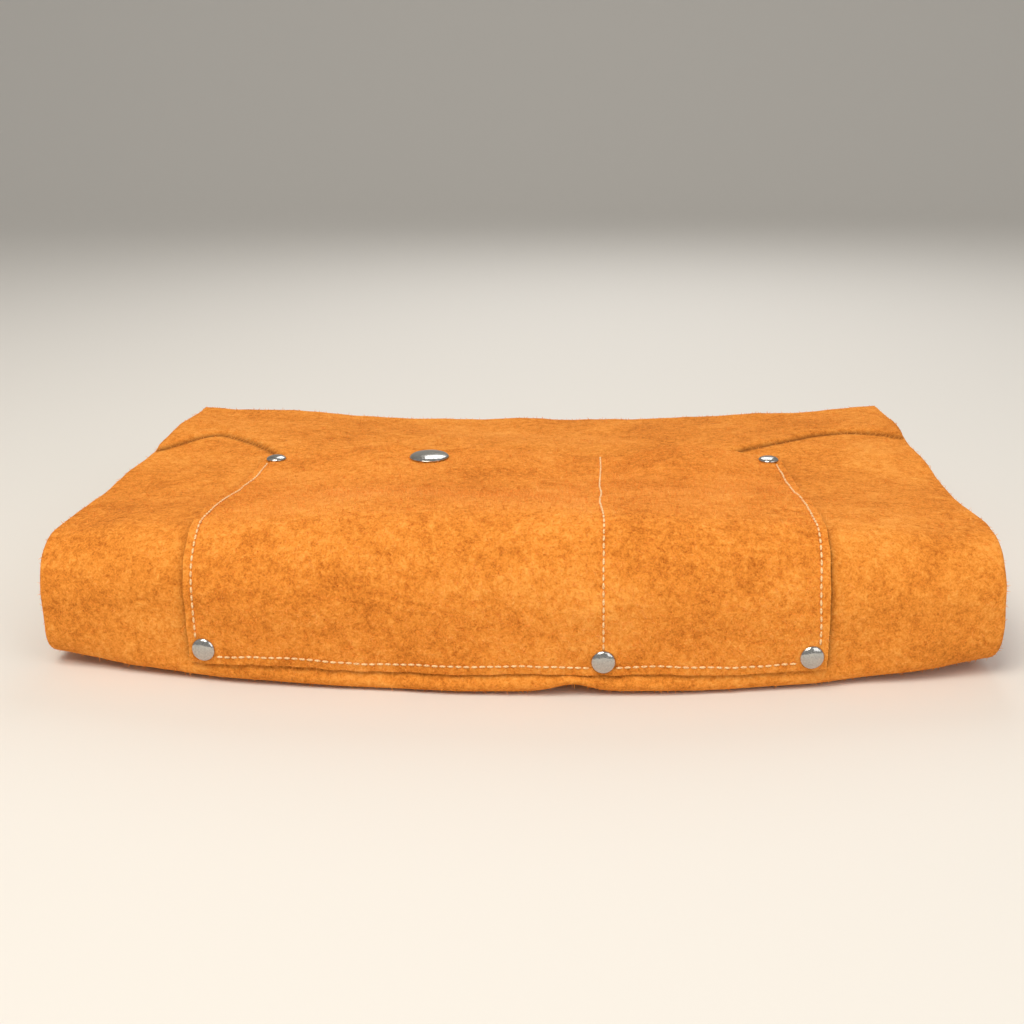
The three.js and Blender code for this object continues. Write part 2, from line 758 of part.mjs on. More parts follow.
function roundedBox(width, length, radius) {
  const [w, l] = [width / 2, length / 2];
  const shape = new THREE.Shape();
  shape.moveTo(-w + radius, -l);
  shape.lineTo(w - radius, -l);
  shape.absarc(w - radius, -l + radius, radius, -Math.PI / 2, 0);
  shape.absarc(w - radius, l - radius, radius, 0, Math.PI / 2);
  shape.absarc(-w + radius, l - radius, radius, Math.PI / 2, Math.PI);
  shape.absarc(-w + radius, -l + radius, radius, Math.PI, 1.5 * Math.PI);
  return shape;
}

const frameShape = roundedBox(buckleWidth, buckleLength, 4);
const frameHole = roundedBox(buckleWidth - 2 * wire, buckleLength - 2 * wire, 1.5);
frameShape.holes.push(new THREE.Path(frameHole.getPoints(3)));
const frameGeometry = new THREE.ExtrudeGeometry(frameShape, {
  depth: wire,
  curveSegments: 3,
  bevelEnabled: false,
});
frameGeometry.translate(-strapCentre, buckleBar.y + buckleLength / 2 - wire / 2, buckleBar.z - wire / 2);
frameGeometry.translate(...carried);
add("buckle_frame", frameGeometry, nickel);

// The prong: an eye round the bar and a finger that rests on the frame's far bar.
const eyeInner = wire / 2 + 0.95;
const eyeOuter = eyeInner + 1.2;
const fingerLow = wire / 2 + rest;
const fingerEnd = buckleLength - wire / 2 + 1;
const prongShape = new THREE.Shape();
const eyeStart = Math.asin((fingerLow + prongThickness) / eyeOuter);
prongShape.absarc(0, 0, eyeOuter, eyeStart, 2 * Math.PI + Math.asin(fingerLow / eyeOuter));
prongShape.lineTo(fingerEnd, fingerLow);
prongShape.lineTo(fingerEnd, fingerLow + prongThickness * 0.85);
const eyeHole = new THREE.Path();
eyeHole.absarc(0, 0, eyeInner, 0, 2 * Math.PI, true);
prongShape.holes.push(eyeHole);
const prongGeometry = new THREE.ExtrudeGeometry(prongShape, {
  depth: prongWidth,
  curveSegments: 8,
  bevelEnabled: false,
});
prongGeometry.applyMatrix4(new THREE.Matrix4().set(0, 0, 1, 0, 1, 0, 0, 0, 0, 1, 0, 0, 0, 0, 0, 1));
prongGeometry.translate(-strapCentre - prongWidth / 2, buckleBar.y, buckleBar.z).translate(...carried);
add("buckle_prong", prongGeometry, nickel);

// The keeper: a leather loop round both runs of the short strap, free to slide on them.
const keeperHalfHeight = loopRadius + strapThickness / 2 + 0.4;
const keeperHalfWidth = strapWidth / 2 + 0.5;
const keeper = cut(
  block(
    -strapCentre - keeperHalfWidth - keeperWall,
    -strapCentre + keeperHalfWidth + keeperWall,
    keeperStart,
    keeperStart + keeperLength,
    buckleBar.z - keeperHalfHeight - keeperWall,
    buckleBar.z + keeperHalfHeight + keeperWall,
  ),
  block(
    -strapCentre - keeperHalfWidth,
    -strapCentre + keeperHalfWidth,
    keeperStart - 1,
    keeperStart + keeperLength + 1,
    buckleBar.z - keeperHalfHeight,
    buckleBar.z + keeperHalfHeight,
  ),
);
add("strap_keeper", keeper.translate(...carried), suede);

// ---- The origin: the middle of the underside ----

const reach = new THREE.Box3().setFromObject(apron);
const middle = reach.getCenter(new THREE.Vector3());
apron.position.set(-middle.x, -middle.y, -reach.min.z);

export default apron;
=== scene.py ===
# %% [markdown]
# # A leather welding apron, folded for storage
#
# The real object is a bib apron of split cowhide, folded with its sides inwards and then into a flat bundle. Its
# front roll faces us, and the bib's divided pocket lies outermost. Leather is a soft sheet, so nearly every piece
# here is a sheet of one thickness that follows a path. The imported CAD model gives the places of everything.

# %% Load the fixed frame
import math

import bpy
import numpy as np
from mathutils import Matrix, Vector


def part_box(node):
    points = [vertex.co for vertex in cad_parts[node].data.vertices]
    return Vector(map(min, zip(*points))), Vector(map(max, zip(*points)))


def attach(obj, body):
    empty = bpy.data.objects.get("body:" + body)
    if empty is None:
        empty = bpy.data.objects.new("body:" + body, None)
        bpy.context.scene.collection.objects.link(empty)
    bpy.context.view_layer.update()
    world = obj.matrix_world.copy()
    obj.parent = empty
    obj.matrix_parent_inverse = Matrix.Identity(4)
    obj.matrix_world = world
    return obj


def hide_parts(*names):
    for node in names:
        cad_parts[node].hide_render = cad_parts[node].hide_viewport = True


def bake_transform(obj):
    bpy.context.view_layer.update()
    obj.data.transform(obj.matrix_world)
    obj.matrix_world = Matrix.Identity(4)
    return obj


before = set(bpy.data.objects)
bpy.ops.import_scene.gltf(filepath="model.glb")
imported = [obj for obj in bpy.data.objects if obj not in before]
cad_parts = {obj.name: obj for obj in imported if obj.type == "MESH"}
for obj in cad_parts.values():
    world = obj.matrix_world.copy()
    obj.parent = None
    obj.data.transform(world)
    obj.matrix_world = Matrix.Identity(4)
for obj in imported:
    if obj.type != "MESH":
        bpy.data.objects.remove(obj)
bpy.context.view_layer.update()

# %% [markdown]
# ## Camera
#
# The bundle is seen from the front and a little above, as on a shelf at waist height. The lens is a short
# telephoto, so the near edge looks only a little wider than the far edge.


# %% The camera
def scene_object(name, data):
    made = bpy.data.objects.new(name, data)
    bpy.context.scene.collection.objects.link(made)
    return made


camera_data = bpy.data.cameras.new("shelf_camera")
camera_data.lens = 46.6
camera_data.sensor_width = 36
camera = scene_object("shelf_camera", camera_data)
camera.location = (0.0291, -0.626, 0.2388)
yaw, pitch, roll = (math.radians(angle) for angle in (3.28, 18.3, 0.78))
turn = Matrix.Rotation(yaw, 3, "Z") @ Matrix.Rotation(math.pi / 2 - pitch, 3, "X")
turn = turn @ Matrix.Rotation(-roll, 3, "Z")
camera.rotation_euler = turn.to_euler()
bpy.context.scene.camera = camera
print("camera at", tuple(camera.location), "with a lens of", camera_data.lens, "mm")

# %% [markdown]
# ## Sizes
#
# These are the CAD model's own sizes, in millimetres, before it is centred on its origin. Every sheet is drawn as
# a straight bundle first. Its section lies in the Y-Z plane, and it runs along X.

# %% Sizes of the bundle
MM = 0.001
SHIFT_Y = 11.95  # the CAD model is centred by this much along Y
HALF_WIDTH, FRONT, BACK, HEIGHT = 200.0, -131.0, 131.0, 52.0
LEATHER = 1.6
FOLD_LEVEL = 22.0
FRONT_LOW_RADIUS, FRONT_TOP_RADIUS = 12.0, 24.0
SKIRT_FOLD_RADIUS, BIB_FOLD_RADIUS = 6.1, 5.0
HEM_START, BIB_TOP_START, BIB_TOP_HALF = -92.0, -86.0, 160.0
FLAP_OFFSET, FLAP_INNER = 3.3, 95.0
POCKET_OFFSET = 2.1
POCKET_LEFT, POCKET_RIGHT, POCKET_DIVIDER = -133.5, 127.0, 37.0
POCKET_FOOT, POCKET_MOUTH = 9.0, 12.0
SEAM_INSET = 3.4
half = LEATHER / 2
TOP = HEIGHT - half
SNAP = (-48.25, -1.0)
print("bundle", 2 * HALF_WIDTH, "x", BACK - FRONT, "x", HEIGHT, "mm before it settles")

# %% [markdown]
# ## How a soft bundle settles
#
# A folded bundle isn't a box. It is fuller along the middle of its front, lower along the middle of its back, and
# its two front corners are lifted off the table. One function bends every sheet the same way, so sheets that lie
# on each other stay on each other.

# %% The bundle's bend
FRONT_SWELL, BACK_SINK = 15, 9  # how much the middle rises at the front and falls at the back
CORNER_LIFT, FRONT_BOW = 5, 20  # how far the front corners lift, and how far the front bows forward


def ease(start, end, value):
    """0 up to start, 1 from end on, and a smooth change between."""
    t = np.clip((value - start) / (end - start), 0, 1)
    return t * t * (3 - 2 * t)


def settle(x, y, z):
    """The place in the settled bundle of a place in the straight one."""
    across = 1 - (x / HALF_WIDTH) ** 2
    at_front = 1 - ease(FRONT + 25, FRONT + 112, y)
    at_back = ease(20, BACK + 6, y)
    swell = across * (FRONT_SWELL * at_front - BACK_SINK * at_back) / (HEIGHT - FOLD_LEVEL)
    beside = np.maximum(0, (np.abs(x) - 120) / 80)
    lift = CORNER_LIFT * beside**1.4 * (1 - ease(FRONT - 20, FRONT + 110, y))
    forward = FRONT_BOW * across * (1 - ease(FRONT, 46, y))
    return np.stack([x, y - forward, z + np.maximum(0, z - FOLD_LEVEL) * swell + lift], -1)


# %% [markdown]
# ## Small dents and waves
#
# Split leather is never flat: it keeps shallow dents from handling. A few dozen sine waves with seeded random
# directions make a smooth field. It depends only on place, so neighbouring sheets move together. It fades out
# around the metal, which presses the leather flat.

# %% The dents
dice = np.random.default_rng(11)
metal_spots = []
for node in sorted(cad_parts):
    if node.startswith("rivet_cap_pocket") or node == "snap_cap":
        low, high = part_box(node)
        metal_spots.append(np.array((low + high) / 2) / MM)


def random_waves(length, amount, count=14):
    """Wave vectors, phases and pushes of some waves about as long as length, in mm."""
    heading = dice.normal(size=(count, 3))
    heading /= np.linalg.norm(heading, axis=1)[:, None]
    number = 2 * math.pi / (length * dice.uniform(0.7, 1.5, count))
    push = dice.normal(size=(count, 3))
    push /= np.linalg.norm(push, axis=1)[:, None]
    return heading * number[:, None], dice.uniform(0, 2 * math.pi, count), push * amount * math.sqrt(2 / count)


dent_scales = [random_waves(95, 0.75), random_waves(42, 0.5), random_waves(15, 0.16)]


def dent(points):
    """Moves points, in mm and already centred, by the field of dents."""
    moved = np.zeros_like(points)
    for number, phase, push in dent_scales:
        moved += np.sin(points @ number.T + phase) @ push
    near = np.ones(len(points))
    for spot in metal_spots:
        near *= ease(7, 24, np.linalg.norm(points - spot, axis=1))
    near *= ease(-1, 5, points[:, 2])
    return points + moved * near[:, None]


def placed(x, y, z):
    """Settled, centred and dented places in metres, for arrays of unsettled mm."""
    settled = settle(x, y, z)
    shape = settled.shape
    flat = settled.reshape(-1, 3) + np.array([0, SHIFT_Y, 0])
    return (dent(flat) * MM).reshape(shape)


print("metal spots", len(metal_spots))

# %% [markdown]
# ## Sections
#
# The section of a sheet is a chain of straight runs and arcs. Each point of it carries its direction inwards, so a
# side flap or a pocket is the same section moved in or out.


# %% Sections made of runs and arcs
def run(start, end, step):
    """A straight run of points, and their direction to the right of its heading."""
    count = max(1, math.ceil(math.dist(start, end) / step))
    t = np.linspace(0, 1, count + 1)[:, None]
    points = np.array(start) * (1 - t) + np.array(end) * t
    heading = (np.array(end) - np.array(start)) / math.dist(start, end)
    inward = np.tile([heading[1], -heading[0]], (count + 1, 1))
    return points, inward


def arc(centre, radius, start, end, step):
    """An arc in the Y-Z plane between two angles in degrees, turning round its centre."""
    count = max(6, math.ceil(abs(math.radians(end - start)) * radius / step))
    angle = np.radians(np.linspace(start, end, count + 1))
    outward = np.stack([np.cos(angle), np.sin(angle)], -1)
    return np.array(centre) + radius * outward, -outward


def chain(*pieces):
    """Runs and arcs in one line. Each begins where the last one ends, so its first point is left out."""
    points = [pieces[0][0]] + [piece[0][1:] for piece in pieces[1:]]
    inward = [pieces[0][1]] + [piece[1][1:] for piece in pieces[1:]]
    return np.concatenate(points), np.concatenate(inward)


hem_level = half + 2 * SKIRT_FOLD_RADIUS
skirt_fold_y = BACK - half - SKIRT_FOLD_RADIUS
bib_fold_y = BACK - half - BIB_FOLD_RADIUS
bib_top_level = TOP - 2 * BIB_FOLD_RADIUS
low_centre = (FRONT + FRONT_LOW_RADIUS, FRONT_LOW_RADIUS)
top_centre = (FRONT + FRONT_TOP_RADIUS, HEIGHT - FRONT_TOP_RADIUS)

# From the hem, back to the skirt's fold, forward along the table, up the front, over the top and back again.
# The chain turns clockwise, so its inward side is on the right of its heading.
hem_run = run((HEM_START, hem_level), (skirt_fold_y, hem_level), 9)
skirt_fold = arc((skirt_fold_y, half + SKIRT_FOLD_RADIUS), SKIRT_FOLD_RADIUS, 90, -90, 2.2)
table_run = run((skirt_fold_y, half), (low_centre[0], half), 8)
low_roll = arc(low_centre, FRONT_LOW_RADIUS - half, -90, -180, 2)
rise_run = run((FRONT + half, low_centre[1]), (FRONT + half, top_centre[1]), 2.2)
top_roll = arc(top_centre, FRONT_TOP_RADIUS - half, 180, 90, 2.5)
# The rows are finest where the top of the bundle shows its steps.
top_run = chain(
    run((top_centre[0], TOP), (0, TOP), 3), run((0, TOP), (78, TOP), 1.7), run((78, TOP), (bib_fold_y, TOP), 4)
)
bib_fold = arc((bib_fold_y, TOP - BIB_FOLD_RADIUS), BIB_FOLD_RADIUS, 90, -90, 2)
bib_top_run = run((bib_fold_y, bib_top_level), (BIB_TOP_START, bib_top_level), 9)
apron_section = chain(
    hem_run, skirt_fold, table_run, low_roll, rise_run, top_roll, top_run, bib_fold, bib_top_run
)
print("apron section", len(apron_section[0]), "rows")

# %% [markdown]
# ## From a grid to a sheet of leather
#
# A sheet is built as a grid of middle points. Each point gets the average direction of its faces. The two faces of
# the sheet stand half a thickness off the middle, and walls close its edges. Normals are kept from the grid, so
# light runs smoothly over the sheet, even where one sheet is made as two pieces.


# %% Sheets from grids
def corners(rows, columns):
    index = np.arange(rows * columns).reshape(rows, columns)
    return np.stack([index[:-1, :-1], index[:-1, 1:], index[1:, 1:], index[1:, :-1]], -1).reshape(-1, 4)


def face_normals(points, quads):
    """Each face's normal, as long as twice its area."""
    a, b, c, d = (points[quads[:, i]] for i in range(4))
    return np.cross(c - a, d - b)


def point_normals(points, quads):
    """The average normal of the faces round each point."""
    total = np.zeros_like(points)
    for i in range(4):
        np.add.at(total, quads[:, i], face_normals(points, quads))
    length = np.linalg.norm(total, axis=1)[:, None]
    return total / np.maximum(length, 1e-12)


def sheet_mesh(name, points, quads, normals, thickness, material, edge_material=None, shared=()):
    """A closed sheet round middle points. Its faces keep the given normals, and its edges are sharp.
    Edges get edge_material, apart from those between shared points, where one sheet is only split in two."""
    used, quads = np.unique(quads, return_inverse=True)
    quads = quads.reshape(-1, 4)
    points, normals = points[used], normals[used]
    count = len(points)
    outer = points + normals * thickness / 2
    inner = points - normals * thickness / 2
    edges = np.concatenate([quads[:, [i, (i + 1) % 4]] for i in range(4)])
    edges = edges[edges[:, 0] != edges[:, 1]]
    _, first, times = np.unique(np.sort(edges, axis=1), axis=0, return_index=True, return_counts=True)
    rim = edges[first[times == 1]]  # an edge of one face only
    walls = np.stack([rim[:, 1], rim[:, 0], rim[:, 0] + count, rim[:, 1] + count], -1)
    faces = np.concatenate([quads, quads[:, ::-1] + count, walls])
    spread = np.concatenate([outer, inner])
    loops = []
    for face in faces.tolist():
        loops.append([v for i, v in enumerate(face) if v != face[i - 1]])
    mesh = bpy.data.meshes.new(name)
    mesh.from_pydata(spread.tolist(), [], loops)
    mesh.polygons.foreach_set("use_smooth", np.ones(len(loops), bool))
    both = np.concatenate([normals, -normals])
    wall_normals = face_normals(spread, walls)
    wall_normals /= np.maximum(np.linalg.norm(wall_normals, axis=1)[:, None], 1e-12)
    sheet_faces = 2 * len(quads)
    split = np.concatenate([both[face] for face in loops[:sheet_faces]])
    wall = [np.tile(normal, (len(face), 1)) for normal, face in zip(wall_normals, loops[sheet_faces:])]
    mesh.normals_split_custom_set(np.concatenate([split, *wall]).tolist())
    mesh.materials.append(material)
    if edge_material:
        mesh.materials.append(edge_material)
        slots = np.zeros(len(loops), np.int32)
        slots[sheet_faces:] = ~np.isin(used[rim], shared).all(1)
        mesh.polygons.foreach_set("material_index", slots)
    print(name, len(mesh.polygons), "faces")
    return scene_object(name, mesh)


def fine_steps(start, end, step, extra=()):
    """Even places, with the extra ones kept exactly and no two closer than a third of a step."""
    count = max(1, round((end - start) / step))
    places = list(extra)
    for place in np.linspace(start, end, count + 1):
        if all(abs(place - kept) > step / 3 for kept in extra):
            places.append(place)
    return np.array(sorted(set([start, end] + places)))


# %% [markdown]
# ## Nodes and colours
#
# One small helper adds a node with its settings and links. Colours are sRGB hex values, made linear in one place.


# %% Helpers for materials
def linear(code):
    """A hex colour as linear red, green, blue and alpha."""
    channels = [int(code[i : i + 2], 16) / 255 for i in (1, 3, 5)]
    return [c / 12.92 if c <= 0.04045 else ((c + 0.055) / 1.055) ** 2.4 for c in channels] + [1.0]


def node(tree, kind, settings=None, **links):
    """Adds a node with its settings. links are its inputs, by name or as in0, in1 and so on: a value or an output."""
    made = tree.nodes.new(kind)
    for key, value in (settings or {}).items():
        setattr(made, key, value)
    for key, value in links.items():
        if key.startswith("in"):
            socket = made.inputs[int(key[2:])]
        else:
            name = key.replace("_", " ")
            socket = next(s for s in made.inputs if s.name == name or s.identifier == key)
        if isinstance(value, bpy.types.NodeSocket):
            tree.links.new(value, socket)
        else:
            socket.default_value = value
    return made


def new_material(name):
    made = bpy.data.materials.new(name)
    made.use_nodes = True
    made.node_tree.nodes.clear()
    return made, made.node_tree


def object_place(tree):
    return node(tree, "ShaderNodeTexCoord").outputs["Object"]


def noise(tree, place, size_mm, detail=2.0, roughness=0.5, distortion=0.0):
    return node(
        tree, "ShaderNodeTexNoise", in0=place, Scale=1 / (size_mm * MM), Detail=detail, Roughness=roughness,
        Distortion=distortion,
    ).outputs["Fac"]


def add_share(tree, factor, share, other=0.0):
    """other, and a share of factor."""
    settings = {"operation": "MULTIPLY_ADD"}
    return node(tree, "ShaderNodeMath", settings, in0=factor, in1=share, in2=other).outputs[0]


def surface(tree, **finish):
    """Ends a material in one principled surface."""
    shader = node(tree, "ShaderNodeBsdfPrincipled", **finish).outputs[0]
    node(tree, "ShaderNodeOutputMaterial", Surface=shader)


def ramp(tree, factor, stops):
    made = node(tree, "ShaderNodeValToRGB", in0=factor)
    while len(made.color_ramp.elements) < len(stops):
        made.color_ramp.elements.new(0.5)
    for element, (place, colour) in zip(made.color_ramp.elements, stops):
        element.position = place
        element.color = linear(colour)
    return made.outputs[0]


# %% [markdown]
# ## Split cowhide
#
# Split leather is the lower layer of a hide, with no smooth grain side. Its fibres stand up as a nap of 0.3 to
# 1 mm, which scatters light and lies in different directions after handling. To the eye that is a matt orange with
# soft lighter and darker patches, a fine grain of fibre tufts, and a pale sheen at grazing angles.


# %% The suede
def split_cowhide(name, dark="#B2601C", base="#E98F36", light="#FFB054", bump=1.0):
    """Split cowhide: a matt nap in three shades of orange, with a low sheen, and with shade painted in where a
    sheet's attribute asks for it.
    """
    made, tree = new_material(name)
    place = object_place(tree)
    patches = noise(tree, place, 52, 3, 0.55, 0.6)
    handling = noise(tree, place, 13, 4, 0.6, 1.2)
    tufts = noise(tree, place, 2.6, 5, 0.7, 0.4)
    fibres = noise(tree, place, 0.9, 3, 0.75)
    mixed = 0.0
    for factor, share in ((patches, 0.2), (handling, 0.16), (tufts, 0.34), (fibres, 0.3)):
        mixed = add_share(tree, factor, share, mixed)
    colour = ramp(tree, mixed, [(0.38, dark), (0.5, base), (0.62, light)])
    # Shade is painted into the colour here: a dark brown where a sheet's attribute marks the steps on top and the
    # pocket's edges, where the light doesn't reach.
    crease = node(tree, "ShaderNodeAttribute", {"attribute_name": "crease"}).outputs["Fac"]
    darkened = node(tree, "ShaderNodeMix", {"data_type": "RGBA"}, in0=crease, in6=colour, in7=linear("#4A2208"))
    height = add_share(tree, handling, 1.6, add_share(tree, fibres, 0.4, tufts))
    nap = node(tree, "ShaderNodeBump", Strength=0.75 * bump, Distance=0.9 * MM, Height=height).outputs[0]
    surface(
        tree, Base_Color=darkened.outputs[2], Normal=nap, Roughness=0.93, IOR=1.45, Specular_IOR_Level=0.12,
        Sheen_Weight=0.12, Sheen_Roughness=0.5, Sheen_Tint=linear("#FFA24A"),
    )
    print("material", name)
    return made


suede = split_cowhide("split_cowhide")
fluff = split_cowhide("split_cowhide_fibre", "#CF7A28", "#F2A04A", "#FFBB6C", bump=0.2)
# The sheets' edges get a dark brown. A cut edge of leather is darker than its face, and this brown also stands in as
# painted shade along the pocket's sides, foot and mouth and along the hide's edges.
cut_edge_and_shade = split_cowhide("split_cowhide_cut_edge_and_shade", "#5E3010", "#864A18", "#A86424", bump=0.5)

# %% [markdown]
# ## The apron's own leather
#
# The whole apron is one hide: skirt, bib and the two sides that are folded in. So it is one sheet here, and it
# bends where the bundle opens. Its columns run from the middle, round the side fold and back under the side. Its
# rows follow the section. Behind the armholes the hide is narrower, and columns past its edge are dropped.

# %% Columns across the hide
FOLD_X = HALF_WIDTH - half - FLAP_OFFSET / 2  # where the side fold begins
side_fold_length = math.pi * FLAP_OFFSET / 2
HIDE_HALF = FOLD_X + side_fold_length + (FOLD_X - FLAP_INNER)


def across_hide(u):
    """For a place across the flat hide: its X in the bundle, and how far inwards it lies."""
    beyond = np.abs(u) - FOLD_X
    angle = np.clip(beyond / (FLAP_OFFSET / 2), 0, math.pi)
    x = np.minimum(np.abs(u), FOLD_X) + FLAP_OFFSET / 2 * np.sin(angle)
    x -= np.maximum(0, beyond - side_fold_length)
    return np.sign(u) * x, FLAP_OFFSET / 2 * (1 - np.cos(angle))


beside_pocket = [edge + step for edge in (POCKET_RIGHT, -POCKET_LEFT) for step in (-1.6, -0.8, 0, 0.8, 1.6)]
right_half = np.concatenate(
    [
        np.linspace(0, 84, 24)[:-1],  # the columns are closer from here outwards, where the steps show
        fine_steps(84, FOLD_X, 2.2, beside_pocket)[:-1],
        FOLD_X + np.linspace(0, side_fold_length, 9)[:-1],
        np.linspace(FOLD_X + side_fold_length, HIDE_HALF, 13),
    ]
)
hide_columns = np.concatenate([-right_half[:0:-1], right_half])
print("hide", round(2 * HIDE_HALF), "mm wide in", len(hide_columns), "columns")


# %% The hide's edge at the armholes
def hide_edge(section_y, row):
    """Half the flat width of the hide at a row: narrower behind the armhole, and again towards its top edge."""
    behind = ease(8, 86, section_y)
    width = np.where(behind < 1, HIDE_HALF - (HIDE_HALF - HALF_WIDTH + half) * behind**0.7, HALF_WIDTH - half)
    beyond_fold = HALF_WIDTH - half - (HALF_WIDTH - half - BIB_TOP_HALF) * (1 - ease(92, 122, section_y))
    return np.where(row >= fold_end_row, beyond_fold, np.where(row > front_end_row, width, HIDE_HALF))


section_points, section_inward = apron_section
lengths = [len(p[0]) - 1 for p in (hem_run, skirt_fold, table_run, low_roll, rise_run, top_roll, top_run)]
front_end_row = sum(lengths[:6])
top_end_row = sum(lengths)
fold_end_row = top_end_row + len(bib_fold[0]) - 1
rows = np.arange(len(section_points))
edge_of_row = hide_edge(section_points[:, 0], rows)

u = np.clip(hide_columns[None, :], -edge_of_row[:, None], edge_of_row[:, None])
hide_x, hide_in = across_hide(u)
# Low on the front the roll spreads forward on the table, most in its middle.
section_y, section_z = section_points[:, None, 0], section_points[:, None, 1]
ROLL_SPREAD = 8
spread = ROLL_SPREAD * (1 - ease(1.5, 10, section_z)) * (1 - ease(FRONT + 12, FRONT + 80, section_y))
spread = spread * (rows[:, None] > sum(lengths[:2])) * (1 - (np.clip(hide_x, -200, 200) / HALF_WIDTH) ** 2)
hide_y = section_y + section_inward[:, None, 0] * hide_in - spread
hide_z = section_z + section_inward[:, None, 1] * hide_in

# %% [markdown]
# ## What shows on the top of the bundle
#
# Behind a curve on each side a second layer lies under the top sheet and lifts it by its thickness. That step shows
# as a thin dark line with a lit edge above it, and shade is painted into the leather along it and against the
# pocket's edges. Under the front the hide is pushed up a little at one place, beside the pocket's divider.

# %% Steps and the push under the front
STEP_HEIGHT, PUSH_HEIGHT = 2.0, 4.2
left_step = np.array([(-200, 26), (-194, 36), (-186, 52), (-171, 63), (-150, 46), (-122, 10), (-108, -8)])
right_step = np.array([(84, 6), (104, 24), (125, 39), (150, 58), (174, 69), (190, 62), (200, 50)])
STEPS = ((left_step, 104.0), (right_step, 82.0))  # each with how near the middle it comes


def beyond_step(line, x, y):
    """How far a place lies behind a step's curve, square to it. The curve is rounded over 12 mm at its corners."""
    line_x, line_y = line.T
    curve_y, slope = np.zeros_like(x), np.zeros_like(x)
    for shift in (-6, -3, 0, 3, 6):
        curve_y += np.interp(x + shift, line_x, line_y) / 5
        slope += (np.interp(x + shift + 1, line_x, line_y) - np.interp(x + shift - 1, line_x, line_y)) / 10
    return (y - curve_y) / np.sqrt(1 + slope**2)


def step_up(x, y):
    """How far the layer below lifts the top sheet at a place, in mm."""
    lifted = np.zeros_like(x)
    for line, inner in STEPS:
        behind = beyond_step(line, x, y)
        on_side = (np.sign(x) == np.sign(line[3, 0])) * ease(inner - 6, inner + 16, np.abs(x))
        lifted += on_side * ease(-1.3, 1.3, behind) * (1 - 0.7 * ease(4, 50, behind))
    return STEP_HEIGHT * lifted


top_rows = ((rows > front_end_row) & (rows <= top_end_row))[:, None]
step = step_up(hide_x, hide_y) * top_rows * (hide_in < 0.05)
front_low = (hide_z < 9) & (hide_y < FRONT + 40)
push = PUSH_HEIGHT * np.exp(-(((hide_x - 25) / 10) ** 2)) * np.clip((9 - hide_z) / 9, 0, 1) * front_low
push *= 1 - ease(FRONT + 8, FRONT + 40, hide_y)
hide = placed(hide_x, hide_y, hide_z)
hide[..., 2] += (push + step) * MM

hide_quads = corners(len(section_points), len(hide_columns))
hide_points = hide.reshape(-1, 3)
# Columns past the hide's edge have all come to lie on it: their points are made one, and their faces go.
same = np.arange(len(hide_points)).reshape(u.shape)
last_column = len(hide_columns) - 1
for column in range(len(hide_columns) // 2, last_column):
    for a, b in ((column, column + 1), (last_column - column, last_column - 1 - column)):
        joined = np.abs(u[:, a] - u[:, b]) < 1e-6
        same[joined, b] = same[joined, a]
hide_quads = same.reshape(-1)[hide_quads]
hide_quads = hide_quads[[len(set(quad)) > 2 for quad in hide_quads.tolist()]]
hide_normals = point_normals(hide_points, hide_quads)
if hide_normals[same[front_end_row + 10, len(hide_columns) // 2]][2] < 0:  # a place on top of the bundle
    hide_quads = hide_quads[:, ::-1]
    hide_normals = -hide_normals


def painted_shade_at(x, y):
    """How much shade is painted at a place: 1 along the steps on top and against the pocket's edges, 0 elsewhere, for
    unsettled mm.
    """
    crease = np.zeros_like(x)
    for line, inner in STEPS:
        behind = beyond_step(line, x, y)
        on_side = (np.sign(x) == np.sign(line[3, 0])) * ease(inner - 4, inner + 12, np.abs(x))
        crease = np.maximum(crease, 0.8 * on_side * np.exp(-(((behind + 1.4) / 1.4) ** 2)))
    outside_pocket = np.maximum(POCKET_LEFT - x, x - POCKET_RIGHT)
    beside = np.exp(-np.maximum(0, outside_pocket) / 1.1) * (outside_pocket > -1) * (y < POCKET_MOUTH)
    return np.maximum(crease, 0.75 * beside)


# The painted shade is kept on the apron's points, for its material to darken the colour with.
visible_rows = (rows > sum(lengths[:3]))[:, None] * (rows <= top_end_row)[:, None]
visible_rows = visible_rows * (hide_in < 0.05) * (section_z > POCKET_FOOT - 0.4)
hide_painted_shade = (painted_shade_at(hide_x, hide_y) * visible_rows).reshape(-1)
apron = sheet_mesh("apron_leather", hide_points, hide_quads, hide_normals, LEATHER * MM, suede, cut_edge_and_shade)
kept_painted_shade = hide_painted_shade[np.unique(hide_quads)]
painted_shade_layer = apron.data.attributes.new("crease", "FLOAT", "POINT")
painted_shade_layer.data.foreach_set("value", np.tile(kept_painted_shade, 2).astype(np.float32))

# %% [markdown]
# ## The divided pocket
#
# The pocket is a second sheet sewn over the bib. It follows the same section, a little further out, from its foot
# low on the front to its mouth on top. Its two mouths gape, and the snap draws the wide one down to the bib. A
# rank of stitches presses a fine groove into nap leather, and the leather between stitches puckers.

# %% How far the pocket's mouth gapes
WIDE_MIDDLE = (POCKET_LEFT + POCKET_DIVIDER) / 2
NARROW_MIDDLE = (POCKET_RIGHT + POCKET_DIVIDER) / 2
MOUTH_END = 12.3  # a compartment's mouth lies flat this near its ends
GAPE_HEIGHT, SNAP_HEIGHT = 5.6, 2.9  # how far the mouth stands open, and how far the snap lets it


def gape(x, y):
    """How far the pocket stands off the bib, in mm."""
    wide = x < POCKET_DIVIDER
    middle = np.where(wide, WIDE_MIDDLE, NARROW_MIDDLE)
    reach = np.where(wide, POCKET_DIVIDER, POCKET_RIGHT) - middle - MOUTH_END
    across = np.clip(1 - ((x - middle) / reach) ** 2, 0, 1)
    raised = GAPE_HEIGHT * across * ease(-66, POCKET_MOUTH, y)
    away = np.hypot(x - SNAP[0], y - SNAP[1])
    drawn = 1 - ease(10.5, 27, away)
    return raised * (1 - drawn) + SNAP_HEIGHT * drawn


